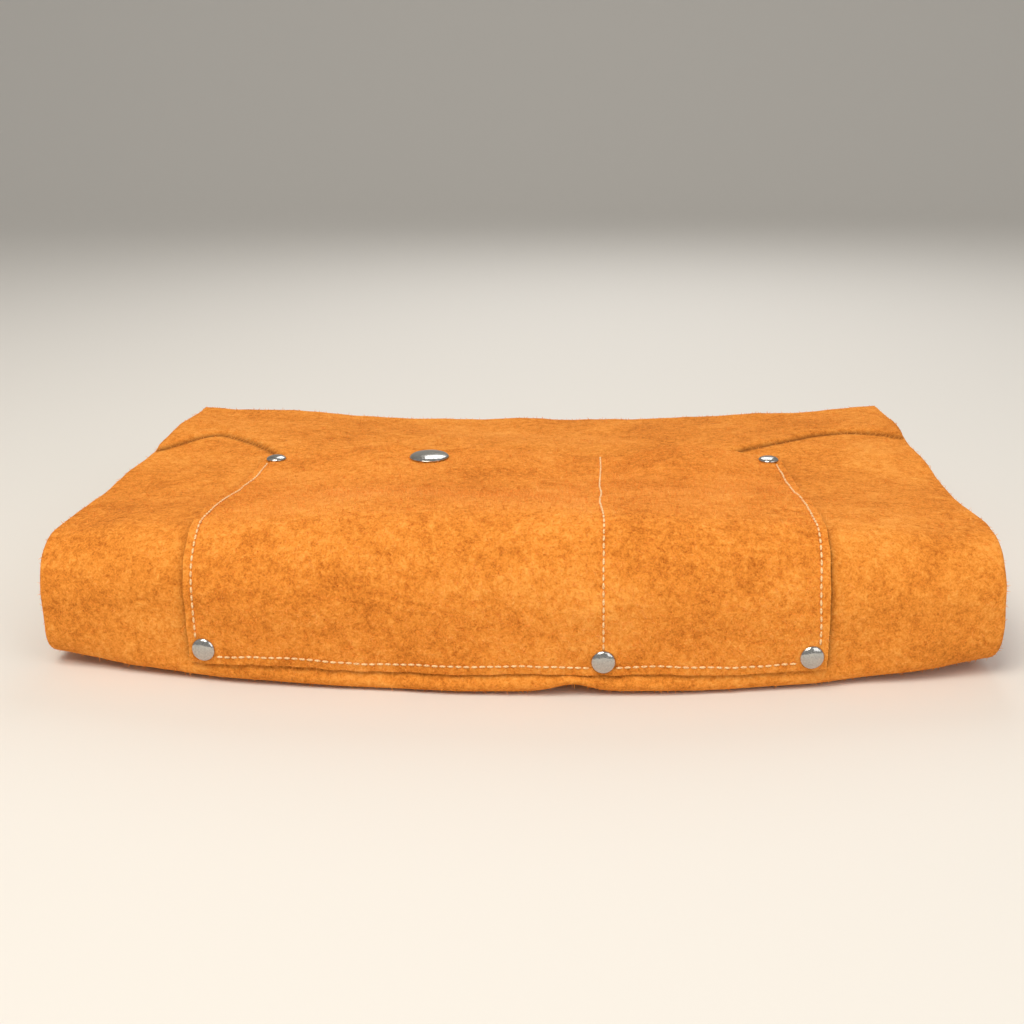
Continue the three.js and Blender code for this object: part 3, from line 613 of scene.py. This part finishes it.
# %% The pocket's rows and columns
foot_radius = FRONT_LOW_RADIUS - half + POCKET_OFFSET
foot_angle = math.degrees(math.asin((FRONT_LOW_RADIUS - POCKET_FOOT) / foot_radius))
pocket_low = arc(low_centre, foot_radius, -180 + foot_angle, -180, 0.7)
pocket_front = FRONT + half - POCKET_OFFSET
pocket_rise = run((pocket_front, low_centre[1]), (pocket_front, top_centre[1]), 1.6)
pocket_roll = arc(top_centre, FRONT_TOP_RADIUS - half + POCKET_OFFSET, 180, 90, 2)
pocket_top = run((top_centre[0], TOP + POCKET_OFFSET), (POCKET_MOUTH, TOP + POCKET_OFFSET), 2.2)
pocket_section = chain(pocket_low, pocket_rise, pocket_roll, pocket_top)[0]

seams = (POCKET_LEFT + SEAM_INSET, POCKET_DIVIDER, POCKET_RIGHT - SEAM_INSET)
LIP = (POCKET_LEFT + 9, POCKET_DIVIDER - 4, -46.0)  # the mouth's loose lip: left, right and front
beside_seams = [seam + step for seam in seams for step in (-2.6, -1.3, -0.6, 0, 0.6, 1.3, 2.6)]
pocket_columns = fine_steps(POCKET_LEFT, POCKET_RIGHT, 2.3, beside_seams + [LIP[0], LIP[1]])
# travel is each section point's distance up from the foot.
travel = np.concatenate([[0], np.cumsum(np.hypot(*np.diff(pocket_section, axis=0).T))])
beside_foot = [SEAM_INSET + step for step in (-1.3, -0.6, 0, 0.6, 1.3)]
pocket_travel = fine_steps(0, travel[-1], 2.1, beside_foot)
lip_travel = travel[-1] - (POCKET_MOUTH - LIP[2])
lip_row = int(np.argmin(np.abs(pocket_travel - lip_travel)))
print("pocket", len(pocket_travel), "rows", len(pocket_columns), "columns")


# %% Where any place on the pocket is
GROOVE_DEPTH = 0.42


def on_pocket(x, along, out=0.0):
    """Places on the pocket's middle for X and a distance up from its foot, in mm. out stands off it."""
    y = np.interp(along, travel, pocket_section[:, 0])
    z = np.interp(along, travel, pocket_section[:, 1])
    place = placed(x, y, z)
    up = np.interp(along, [60, 95], [0, 1])
    place[..., 2] += gape(x, y) * MM
    place[..., 1] -= out * (1 - up) * MM
    place[..., 2] += out * up * MM
    return place


def groove(x, along):
    """The stitch lines' groove and the puckers beside it, as a height in mm."""
    depth = np.zeros_like(x)
    for k, seam in enumerate(seams):
        off = np.abs(x - seam)
        depth -= GROOVE_DEPTH * np.exp(-((off / 0.8) ** 2))
        depth += 0.3 * np.exp(-(((off - 3.2) / 2.6) ** 2)) * np.sin(2 * math.pi * along / 11.5 + 2.1 * k)
    off = np.abs(along - SEAM_INSET)
    depth -= GROOVE_DEPTH * np.exp(-((off / 0.8) ** 2))
    return depth + 0.26 * np.exp(-(((off - 3.4) / 2.6) ** 2)) * np.sin(2 * math.pi * x / 13)


# %% The pocket's grid
pocket_x, pocket_along = np.meshgrid(pocket_columns, pocket_travel)
POCKET_OFF = 0.15  # the pocket's middle stands this much further off the hide than its section
pocket_points = on_pocket(pocket_x, pocket_along, POCKET_OFF).reshape(-1, 3)
pocket_quads = corners(*pocket_x.shape)
pocket_normals = point_normals(pocket_points, pocket_quads)
if pocket_normals[len(pocket_normals) // 2][2] < 0:
    pocket_quads = pocket_quads[:, ::-1]
    pocket_normals = -pocket_normals
pocket_points += pocket_normals * groove(pocket_x, pocket_along).reshape(-1, 1) * MM
pocket_normals = point_normals(pocket_points, pocket_quads)

# %% [markdown]
# The loose lip of the wide compartment is a piece of its own, split off where it would lift with the snap. It shares
# its border points with the rest of the pocket, and their normals, so the border doesn't show.

# %% The pocket and its loose lip
face_x = pocket_x.reshape(-1)[pocket_quads].mean(1)
face_along = pocket_along.reshape(-1)[pocket_quads].mean(1)
is_lip = (face_x > LIP[0]) & (face_x < LIP[1]) & (face_along > pocket_travel[lip_row])
shared = np.intersect1d(pocket_quads[is_lip], pocket_quads[~is_lip])
pocket, lip = (
    sheet_mesh(name, pocket_points, pocket_quads[part], pocket_normals, LEATHER * MM, suede, cut_edge_and_shade, shared)
    for name, part in (("pocket_leather", ~is_lip), ("pocket_lip_leather", is_lip))
)

# %% [markdown]
# ## Cotton stitching
#
# The seams are lockstitch in a waxed cotton thread of about 0.8 mm, with a stitch every 3.2 mm. Each stitch is a
# short plump ellipsoid that dips into the leather at its ends. Geometry Nodes set one at each pitch of a seam
# line and turn it along the line.


# %% The thread
def waxed_cotton():
    """Waxed cotton thread: cream, slightly glossy, with the twist of its plies."""
    made, tree = new_material("waxed_cotton_thread")
    twist = noise(tree, object_place(tree), 0.5)
    colour = ramp(tree, twist, [(0.35, "#E0A45A"), (0.6, "#FFE2AC")])
    plies = node(tree, "ShaderNodeBump", Strength=0.5, Distance=0.2 * MM, Height=twist).outputs[0]
    surface(tree, Base_Color=colour, Normal=plies, Roughness=0.62, Sheen_Weight=0.2)
    return made


thread = waxed_cotton()
STITCH_PITCH, STITCH_LENGTH, STITCH_WIDTH = 3.2, 2.75, 0.95
STITCH_SIDES, STITCH_RINGS = 8, 6
FACES_PER_STITCH = STITCH_SIDES * STITCH_RINGS
print("stitches", STITCH_LENGTH, "mm long, one every", STITCH_PITCH, "mm")


# %% A tree that sews along a line
def new_tree(name, **inputs):
    """A Geometry Nodes tree and what it is given. Each input is a kind of socket, with its default if it has one."""
    tree = bpy.data.node_groups.new(name, "GeometryNodeTree")
    for label, (kind, *default) in inputs.items():
        socket = tree.interface.new_socket(label, in_out="INPUT", socket_type="NodeSocket" + kind)
        if default:
            socket.default_value = default[0]
    tree.interface.new_socket("Result", in_out="OUTPUT", socket_type="NodeSocketGeometry")
    return tree, node(tree, "NodeGroupInput").outputs


def sewing_tree():
    tree, given = new_tree(
        "sew_along_line", Line=["Geometry"], Pitch=["Float", STITCH_PITCH * MM],
        Length=["Float", STITCH_LENGTH * MM], Width=["Float", STITCH_WIDTH * MM], Thread=["Material"],
    )
    curve = node(tree, "GeometryNodeMeshToCurve", Mesh=given["Line"]).outputs[0]
    by_length = {"mode": "LENGTH"}
    places = node(tree, "GeometryNodeResampleCurve", by_length, Curve=curve, Length=given["Pitch"]).outputs[0]
    tangent = node(tree, "GeometryNodeInputTangent").outputs[0]
    turn = node(tree, "FunctionNodeAlignRotationToVector", {"axis": "X"}, Vector=tangent).outputs[0]
    ball = node(tree, "GeometryNodeMeshUVSphere", Segments=STITCH_SIDES, Rings=STITCH_RINGS, Radius=0.5).outputs[0]
    size = node(tree, "ShaderNodeCombineXYZ", X=given["Length"], Y=given["Width"], Z=given["Width"]).outputs[0]
    stitch = node(tree, "GeometryNodeTransform", Geometry=ball, Scale=size).outputs[0]
    sewn = node(tree, "GeometryNodeInstanceOnPoints", Points=places, Instance=stitch, Rotation=turn).outputs[0]
    real = node(tree, "GeometryNodeRealizeInstances", Geometry=sewn).outputs[0]
    smooth = node(tree, "GeometryNodeSetShadeSmooth", Geometry=real).outputs[0]
    finished = node(tree, "GeometryNodeSetMaterial", Geometry=smooth, Material=given["Thread"]).outputs[0]
    node(tree, "NodeGroupOutput", in0=finished)
    return tree


def grown(name, start, tree, inputs):
    """Runs a Geometry Nodes tree on an object once and returns the result as a plain mesh object."""
    modifier = start.modifiers.new("grow", "NODES")
    modifier.node_group = tree
    for item in tree.interface.items_tree:
        if item.in_out == "INPUT" and item.name in inputs:
            modifier[item.identifier] = inputs[item.name]
    evaluated = start.evaluated_get(bpy.context.evaluated_depsgraph_get())
    mesh = bpy.data.meshes.new_from_object(evaluated)
    mesh.name = name
    start.modifiers.remove(modifier)
    return scene_object(name, mesh)


def line_object(name, points):
    mesh = bpy.data.meshes.new(name)
    mesh.from_pydata(points.tolist(), [(i, i + 1) for i in range(len(points) - 1)], [])
    return scene_object(name, mesh)


# %% The seams
sewing = sewing_tree()
foot_to_mouth = travel[-1]
stitch_out = half + POCKET_OFF - 0.05  # the line that the stitches' middles lie on
LINE_STEP = 0.8  # between the points of a seam line
stitch_rows = {}
for name, seam, start, end in (
    ("left", seams[0], 12.5, foot_to_mouth - 15.5),
    ("divider", seams[1], 12.5, foot_to_mouth - 2),
    ("right", seams[2], 12.5, foot_to_mouth - 15.5),
):
    along = np.arange(start, end, LINE_STEP)
    stitch_rows[name] = (np.full_like(along, seam), along)
for name, start, end in (
    ("foot_wide", POCKET_LEFT + 13.2, POCKET_DIVIDER - 6.4),
    ("foot_narrow", POCKET_DIVIDER + 6.4, POCKET_RIGHT - 13.2),
):
    x = np.arange(start, end, LINE_STEP)
    stitch_rows[name] = (x, np.full_like(x, SEAM_INSET))


def on_surface(x, along, out):
    """Places on the pocket's outer face, moved outwards along its normals by out, in mm."""
    step = 0.4
    here = on_pocket(x, along)
    aside = on_pocket(x + step, along) - on_pocket(x - step, along)
    upward = on_pocket(x, along + step) - on_pocket(x, along - step)
    normal = np.cross(aside, upward)
    normal /= np.linalg.norm(normal, axis=-1)[:, None]
    return here + normal * out * MM


stitches = {}
for name, (x, along) in stitch_rows.items():
    line = line_object("seam_line_" + name, on_surface(x, along, stitch_out))
    stitches[name] = grown("stitches_" + name, line, sewing, {"Thread": thread})
    bpy.data.objects.remove(line)
    print("stitches", name, len(stitches[name].data.polygons) // FACES_PER_STITCH)

# %% [markdown]
# ## Loose fibres
#
# The nap's longest fibres stand up to 2 mm off the leather and blur its outline, most of all along the edges. They
# are scattered by Geometry Nodes over the outer faces that show, each a three-sided spike, leaning at random. A real
# fibre is a tenth as thick, which would be too fine to see.


# %% A tree that grows fibres
def fibre_tree():
    tree, given = new_tree(
        "grow_fibres", Skin=["Geometry"], Density=["Float"], Length=["Float", 2.1 * MM],
        Width=["Float", 0.17 * MM], Seed=["Int"], Fibre=["Material"],
    )
    scatter = node(
        tree, "GeometryNodeDistributePointsOnFaces", Mesh=given["Skin"], Density=given["Density"], Seed=given["Seed"]
    ).outputs
    spike = node(
        tree, "GeometryNodeMeshCone", Vertices=3, Radius_Top=0.0, Radius_Bottom=given["Width"], Depth=given["Length"]
    ).outputs[0]
    lean = node(
        tree, "FunctionNodeRandomValue", {"data_type": "FLOAT_VECTOR"}, in0=(-1.0, -1.0, -3.1), in1=(1.0, 1.0, 3.1),
        Seed=given["Seed"],
    ).outputs[0]
    leaning = node(tree, "FunctionNodeEulerToRotation", in0=lean).outputs[0]
    local = {"rotation_space": "LOCAL"}
    turned = node(tree, "FunctionNodeRotateRotation", local, in0=scatter["Rotation"], in1=leaning).outputs[0]
    number = {"data_type": "FLOAT"}
    size = node(tree, "FunctionNodeRandomValue", number, in2=0.35, in3=1.0, Seed=given["Seed"]).outputs[1]
    grown_fibres = node(
        tree, "GeometryNodeInstanceOnPoints", Points=scatter["Points"], Instance=spike, Rotation=turned, Scale=size
    ).outputs[0]
    real = node(tree, "GeometryNodeRealizeInstances", Geometry=grown_fibres).outputs[0]
    finished = node(tree, "GeometryNodeSetMaterial", Geometry=real, Material=given["Fibre"]).outputs[0]
    node(tree, "NodeGroupOutput", in0=finished)
    return tree


# %% The skin that shows, and its fibres
def skin_of(sheet):
    """The faces of a sheet that show on the top, the front and the ends, as an object to grow fibres on."""
    mesh = sheet.data
    centres = np.zeros(len(mesh.polygons) * 3)
    normals = np.zeros(len(mesh.polygons) * 3)
    mesh.polygons.foreach_get("center", centres)
    mesh.polygons.foreach_get("normal", normals)
    centres, normals = centres.reshape(-1, 3) / MM, normals.reshape(-1, 3)
    on_top = (normals[:, 2] > 0.35) & (centres[:, 2] > 38)
    in_front = (normals[:, 1] < -0.25) & (centres[:, 1] < -90)
    on_ends = (np.abs(normals[:, 0]) > 0.5) & (np.abs(centres[:, 0]) > 190)
    shows = (on_top | in_front | on_ends) & (centres[:, 2] > 1)
    kept = [tuple(mesh.polygons[i].vertices) for i in np.flatnonzero(shows)]
    skin = bpy.data.meshes.new(sheet.name + "_skin")
    skin.from_pydata([v.co[:] for v in mesh.vertices], [], kept)
    return scene_object(sheet.name + "_skin", skin)


fibres_grow = fibre_tree()
fibres = {}
for sheet, count, seed in ((apron, 30000, 3), (pocket, 17000, 5), (lip, 3000, 7)):
    skin = skin_of(sheet)
    area = sum(p.area for p in skin.data.polygons)
    inputs = {"Fibre": fluff, "Density": count / area, "Seed": seed}
    fibres[sheet.name] = grown(sheet.name.replace("leather", "fibres"), skin, fibres_grow, inputs)
    bpy.data.objects.remove(skin)
    print(sheet.name, "fibres", len(fibres[sheet.name].data.polygons) // 4)  # four faces each

# %% [markdown]
# ## Straps and ties
#
# The neck strap and the waist ties are black polyamide webbing, woven flat, 25 and 20 mm wide. They are tucked
# inside the bundle. The long neck strap is folded to and fro, each tie is doubled, and the short strap turns round
# the buckle's bar.


# %% Webbing
RIB_PITCH = 2.6


def polyamide_webbing():
    """Woven polyamide webbing: black, with ribs across the weave and a low sheen."""
    made, tree = new_material("polyamide_webbing")
    place = object_place(tree)
    # A wave texture of scale 1 has a band every pi / 10, so its scale is that over the pitch of the ribs.
    ribs = node(
        tree, "ShaderNodeTexWave", {"bands_direction": "Y"}, in0=place, Scale=math.pi / 10 / (RIB_PITCH * MM),
        Distortion=1.5, Detail=2.0,
    ).outputs["Fac"]
    height = add_share(tree, noise(tree, place, 0.7), 0.5, ribs)
    colour = ramp(tree, height, [(0.3, "#141414"), (1.0, "#34322F")])
    weave = node(tree, "ShaderNodeBump", Strength=0.8, Distance=0.35 * MM, Height=height).outputs[0]
    surface(tree, Base_Color=colour, Normal=weave, Roughness=0.7, Sheen_Weight=0.25)
    return made


webbing = polyamide_webbing()


def ribbon(name, section, middle, width, thickness, level_x=None, hole=None):
    """A strap of one width whose middle line follows a section. hole leaves out faces at a place in mm."""
    columns = np.linspace(middle - width / 2, middle + width / 2, 13)
    x, row = np.meshgrid(columns, np.arange(len(section)))
    points = settle(np.full_like(x, level_x) if level_x else x, section[row, 0], section[row, 1])
    points[..., 0] = x
    points = (points.reshape(-1, 3) + np.array([0, SHIFT_Y, 0])) * MM
    quads = corners(*x.shape)
    if hole:
        centres = points[quads].mean(1) / MM
        quads = quads[~hole(centres)]
    strap = sheet_mesh(name, points, quads, point_normals(points, quads), thickness * MM, webbing)
    return strap


# %% The long neck strap: five runs, each a pitch below the last
STRAP_WIDTH, STRAP_PITCH, STRAP_MIDDLE, STRAP_THICKNESS = 25, 3.2, 132.0, 1.8
STRAP_RUNS = 5
strap_level = bib_top_level - half - 0.3 - STRAP_THICKNESS / 2
near, far = BIB_TOP_START + 24, 70.0
pieces, here = [], (BIB_TOP_START + 2, strap_level)
for fold in range(STRAP_RUNS):
    z = strap_level - fold * STRAP_PITCH
    end = (far if fold % 2 == 0 else near, z)
    pieces.append(run(here, end, 8))
    here = (end[0], z - STRAP_PITCH)
    if fold < STRAP_RUNS - 1:
        angles = (90, -90) if fold % 2 == 0 else (90, 270)
        pieces.append(arc((end[0], z - STRAP_PITCH / 2), STRAP_PITCH / 2, *angles, 0.6))
long_section = chain(*pieces)[0]
long_strap = ribbon("neck_strap_long_webbing", long_section, STRAP_MIDDLE, STRAP_WIDTH, STRAP_THICKNESS)

# %% The short neck strap, round the buckle's bar
bar_y, bar_z, loop = 14.0, 28.0, 3.5
slope_start, slope_end = BIB_TOP_START + 30, BIB_TOP_START + 55
short_section = chain(
    run((BIB_TOP_START + 2, strap_level), (slope_start, strap_level), 6),
    run((slope_start, strap_level), (slope_end, bar_z + loop), 3),
    run((slope_end, bar_z + loop), (bar_y, bar_z + loop), 4),
    arc((bar_y, bar_z), loop, 90, -90, 0.7),
    run((bar_y, bar_z - loop), (-24.0, bar_z - loop), 5),
)[0]


def prong_hole(centres):
    """Where the prong comes through the strap's turn, between the two edges of a slit."""
    return (np.abs(centres[:, 0] + STRAP_MIDDLE) < 2) & (centres[:, 1] > bar_y - 6)


short_strap = ribbon(
    "neck_strap_short_webbing", short_section, -STRAP_MIDDLE, STRAP_WIDTH, STRAP_THICKNESS, hole=prong_hole
)

# %% The waist ties, doubled
TIE_WIDTH, TIE_THICKNESS, TIE_MIDDLE, TIE_TURN = 20, 1.1, 105.0, 0.75
tie_level = TOP - FLAP_OFFSET - half - 0.8 - 1.3
tie_section = chain(
    run((FRONT + 47, tie_level + TIE_TURN), (BACK - 36, tie_level + TIE_TURN), 8),
    arc((BACK - 36, tie_level), TIE_TURN, 90, -90, 0.4),
    run((BACK - 36, tie_level - TIE_TURN), (FRONT + 47, tie_level - TIE_TURN), 8),
)[0]
left_tie, right_tie = (
    ribbon("waist_tie_" + side + "_webbing", tie_section, middle, TIE_WIDTH, TIE_THICKNESS, level_x=middle)
    for side, middle in (("left", -TIE_MIDDLE), ("right", TIE_MIDDLE))
)

# %% [markdown]
# ## The keeper
#
# A keeper is a loop of the same leather, sewn shut, that holds the strap's free end. It is a band between two
# rounded outlines, an outer one and a bore, drawn along the strap.


# %% The leather keeper
def rounded_outline(width, height, radius, sides=6):
    """The points round a rectangle with rounded corners, counter-clockwise from the right."""
    points = []
    for side_x, side_z, start in ((1, 1, 0), (-1, 1, 90), (-1, -1, 180), (1, -1, 270)):
        centre = np.array([side_x * (width / 2 - radius), side_z * (height / 2 - radius)])
        for step in range(sides + 1):
            angle = math.radians(start + 90 * step / sides)
            points.append(centre + radius * np.array([math.cos(angle), math.sin(angle)]))
    return np.array(points)


low, high = (np.array(corner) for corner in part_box("strap_keeper"))
middle, size = (low + high) / 2, high - low
wall = 1.4 * MM
outline = rounded_outline(size[0], size[2], 2.2 * MM)
bore = rounded_outline(size[0] - 2 * wall, size[2] - 2 * wall, 0.9 * MM)
# Four rings, joined each to the next and the last to the first. At the far end the outer edge is worn back.
rings = [
    [(middle[0] + x, middle[1] + y * size[1], middle[2] + z) for x, z in shape]
    for shape, y in ((outline, -0.5), (outline, 0.47), (bore, 0.5), (bore, -0.5))
]
around = len(outline)
keeper_faces = [
    [ring * around + after, ring * around + i, (ring + 1) % 4 * around + i, (ring + 1) % 4 * around + after]
    for ring in range(4)
    for i, after in zip(range(around), [*range(1, around), 0])
]
keeper_mesh = bpy.data.meshes.new("strap_keeper_leather")
keeper_mesh.from_pydata([point for ring in rings for point in ring], [], keeper_faces)
keeper_mesh.materials.append(suede)
keeper = scene_object("strap_keeper_leather", keeper_mesh)
print(keeper.name, len(keeper_faces), "faces")

# %% [markdown]
# ## Nickel-plated steel
#
# The rivets, the snap and the buckle are pressed steel with a bright nickel plate. Nickel is a slightly warm
# silver. Handling leaves hair-fine scratches, which break up its reflections a little.


# %% The nickel plate
def nickel_plate():
    made, tree = new_material("nickel_plated_steel")
    scuffs = noise(tree, object_place(tree), 1.4, 4.0, 0.5, 2.0)
    rough = node(tree, "ShaderNodeMapRange", in0=scuffs, in1=0.35, in2=0.75, in3=0.1, in4=0.26).outputs[0]
    colour = ramp(tree, scuffs, [(0.3, "#A9A8A6"), (0.7, "#CFCDC8")])
    surface(tree, Base_Color=colour, Roughness=rough, Metallic=1.0)
    return made


nickel = nickel_plate()


def smoothing_tree():
    tree, given = new_tree("shade_smooth", Metal=["Geometry"])
    smooth = node(tree, "GeometryNodeSetShadeSmooth", Geometry=given["Metal"]).outputs[0]
    node(tree, "NodeGroupOutput", in0=smooth)
    return tree


smoothing = smoothing_tree()
for name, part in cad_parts.items():
    if name.startswith(("rivet", "snap", "buckle")):
        part.data.materials.clear()
        part.data.materials.append(nickel)
        part.modifiers.new("weld", "WELD").merge_threshold = 0.005 * MM
        bevel = part.modifiers.new("bevel", "BEVEL")
        bevel.width, bevel.segments, bevel.angle_limit = 0.18 * MM, 2, math.radians(38)  # a pressed edge
        if name.startswith(("rivet_cap", "snap_cap")):
            rounder = part.modifiers.new("rounder", "SUBSURF")
            rounder.levels = rounder.render_levels = 2
        part.modifiers.new("smooth", "NODES").node_group = smoothing
print("nickel plate on the rivets, the snap and the buckle")

# %% [markdown]
# ## What each piece moves with
#
# The bundle opens at the level of the front roll. The leather sheets, their fibres and the pocket's long seams hide
# the CAD parts they stand in for, and keep their places in the world with no body. The stitches along the pocket's
# foot go with the skirt, the straps and ties with the bib, and the keeper with a body of its own.

# %% Bodies
APRON_NODES = (
    "skirt_panel", "skirt_hem_panel", "bib_front_panel", "bib_panel", "bib_back_panel", "bib_top_panel",
    "side_flap_left_lower", "side_flap_left_upper", "side_flap_right_lower", "side_flap_right_upper",
)
bending = [
    (apron, "suede", APRON_NODES),
    (pocket, "suede", ("pocket_lower", "pocket_upper")),
    (fibres["apron_leather"], "suede", ()),
    (fibres["pocket_leather"], "suede", ()),
    *((stitches[name], "thread", ("seam_thread_" + name,)) for name in ("left", "divider", "right")),
]
for piece, slot, nodes in bending:
    if nodes:
        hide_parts(*nodes)
    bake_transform(piece)
for name in ("foot_wide", "foot_narrow"):
    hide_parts("seam_thread_" + name)
    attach(stitches[name], "skirt")
for strap in (long_strap, short_strap, left_tie, right_tie):
    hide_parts(strap.name.removesuffix("_webbing"))
    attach(strap, "bib")
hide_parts("strap_keeper")
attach(keeper, "keeper")
print(len(bending), "pieces bend where the bundle opens")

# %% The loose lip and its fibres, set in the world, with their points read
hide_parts("pocket_mouth_panel")
for piece in (lip, fibres["pocket_lip_leather"]):
    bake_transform(piece)
    places = np.zeros(len(piece.data.vertices) * 3)
    piece.data.vertices.foreach_get("co", places)
    places = places.reshape(-1, 3)

# %% The leather's flat sizes, not given here
print("flat sizes are not given for the apron, the pocket and the lip")

# %% [markdown]
# ## Studio
#
# A plain pale floor, a large soft light from the upper front left, and weaker ones from the right and from behind.
# The main light is warm white, as the hide's orange loses its glow under cold light.

# %% Floor and lights
floor_mesh = bpy.data.meshes.new("studio_floor")
COVE_START, COVE_RADIUS = 1.6, 1.4  # the floor curves up into a wall far behind
turns = np.linspace(0, math.pi / 2, 24)
curve = [(COVE_START + COVE_RADIUS * math.sin(a), COVE_RADIUS - COVE_RADIUS * math.cos(a)) for a in turns]
cove = [(-4, 0), *curve, (3, 4)]
cove_points = [(x, y, z - 0.0004) for y, z in cove for x in (-6, 6)]
cove_faces = [(2 * i, 2 * i + 1, 2 * i + 3, 2 * i + 2) for i in range(len(cove) - 1)]
floor_mesh.from_pydata(cove_points, [], cove_faces)
floor_mesh.polygons.foreach_set("use_smooth", [True] * len(cove_faces))
floor_paint, floor_tree = new_material("matt_floor_paint")
surface(floor_tree, Base_Color=linear("#E4E1DC"), Roughness=0.85)
floor_mesh.materials.append(floor_paint)
floor = scene_object("studio_floor", floor_mesh)

studio = bpy.data.worlds.new("studio")
studio.use_nodes = True
backdrop = studio.node_tree.nodes["Background"]
backdrop.inputs["Color"].default_value = linear("#F2F0EC")
backdrop.inputs["Strength"].default_value = 0.42
bpy.context.scene.world = studio


def softbox(name, place, aim, size, power, colour):
    """A square soft light of a size in metres and a power in watts."""
    data = bpy.data.lights.new(name, "AREA")
    data.size, data.energy, data.color = size, power, linear(colour)[:3]
    light = scene_object(name, data)
    light.location = place
    light.rotation_euler = (Vector(aim) - Vector(place)).to_track_quat("-Z", "Y").to_euler()
    print(name, power, "W")


softbox("key_softbox", (-0.35, -0.75, 1.25), (0, -0.02, 0.02), 0.8, 15.5, "#FFF6E8")
softbox("fill_softbox", (0.9, -0.8, 0.7), (0, 0, 0.03), 0.9, 4, "#FFFFFF")
softbox("rim_softbox", (0.1, 0.9, 0.9), (0, 0, 0.05), 0.7, 4, "#FFFFFF")
bpy.context.scene.view_settings.view_transform = "Standard"
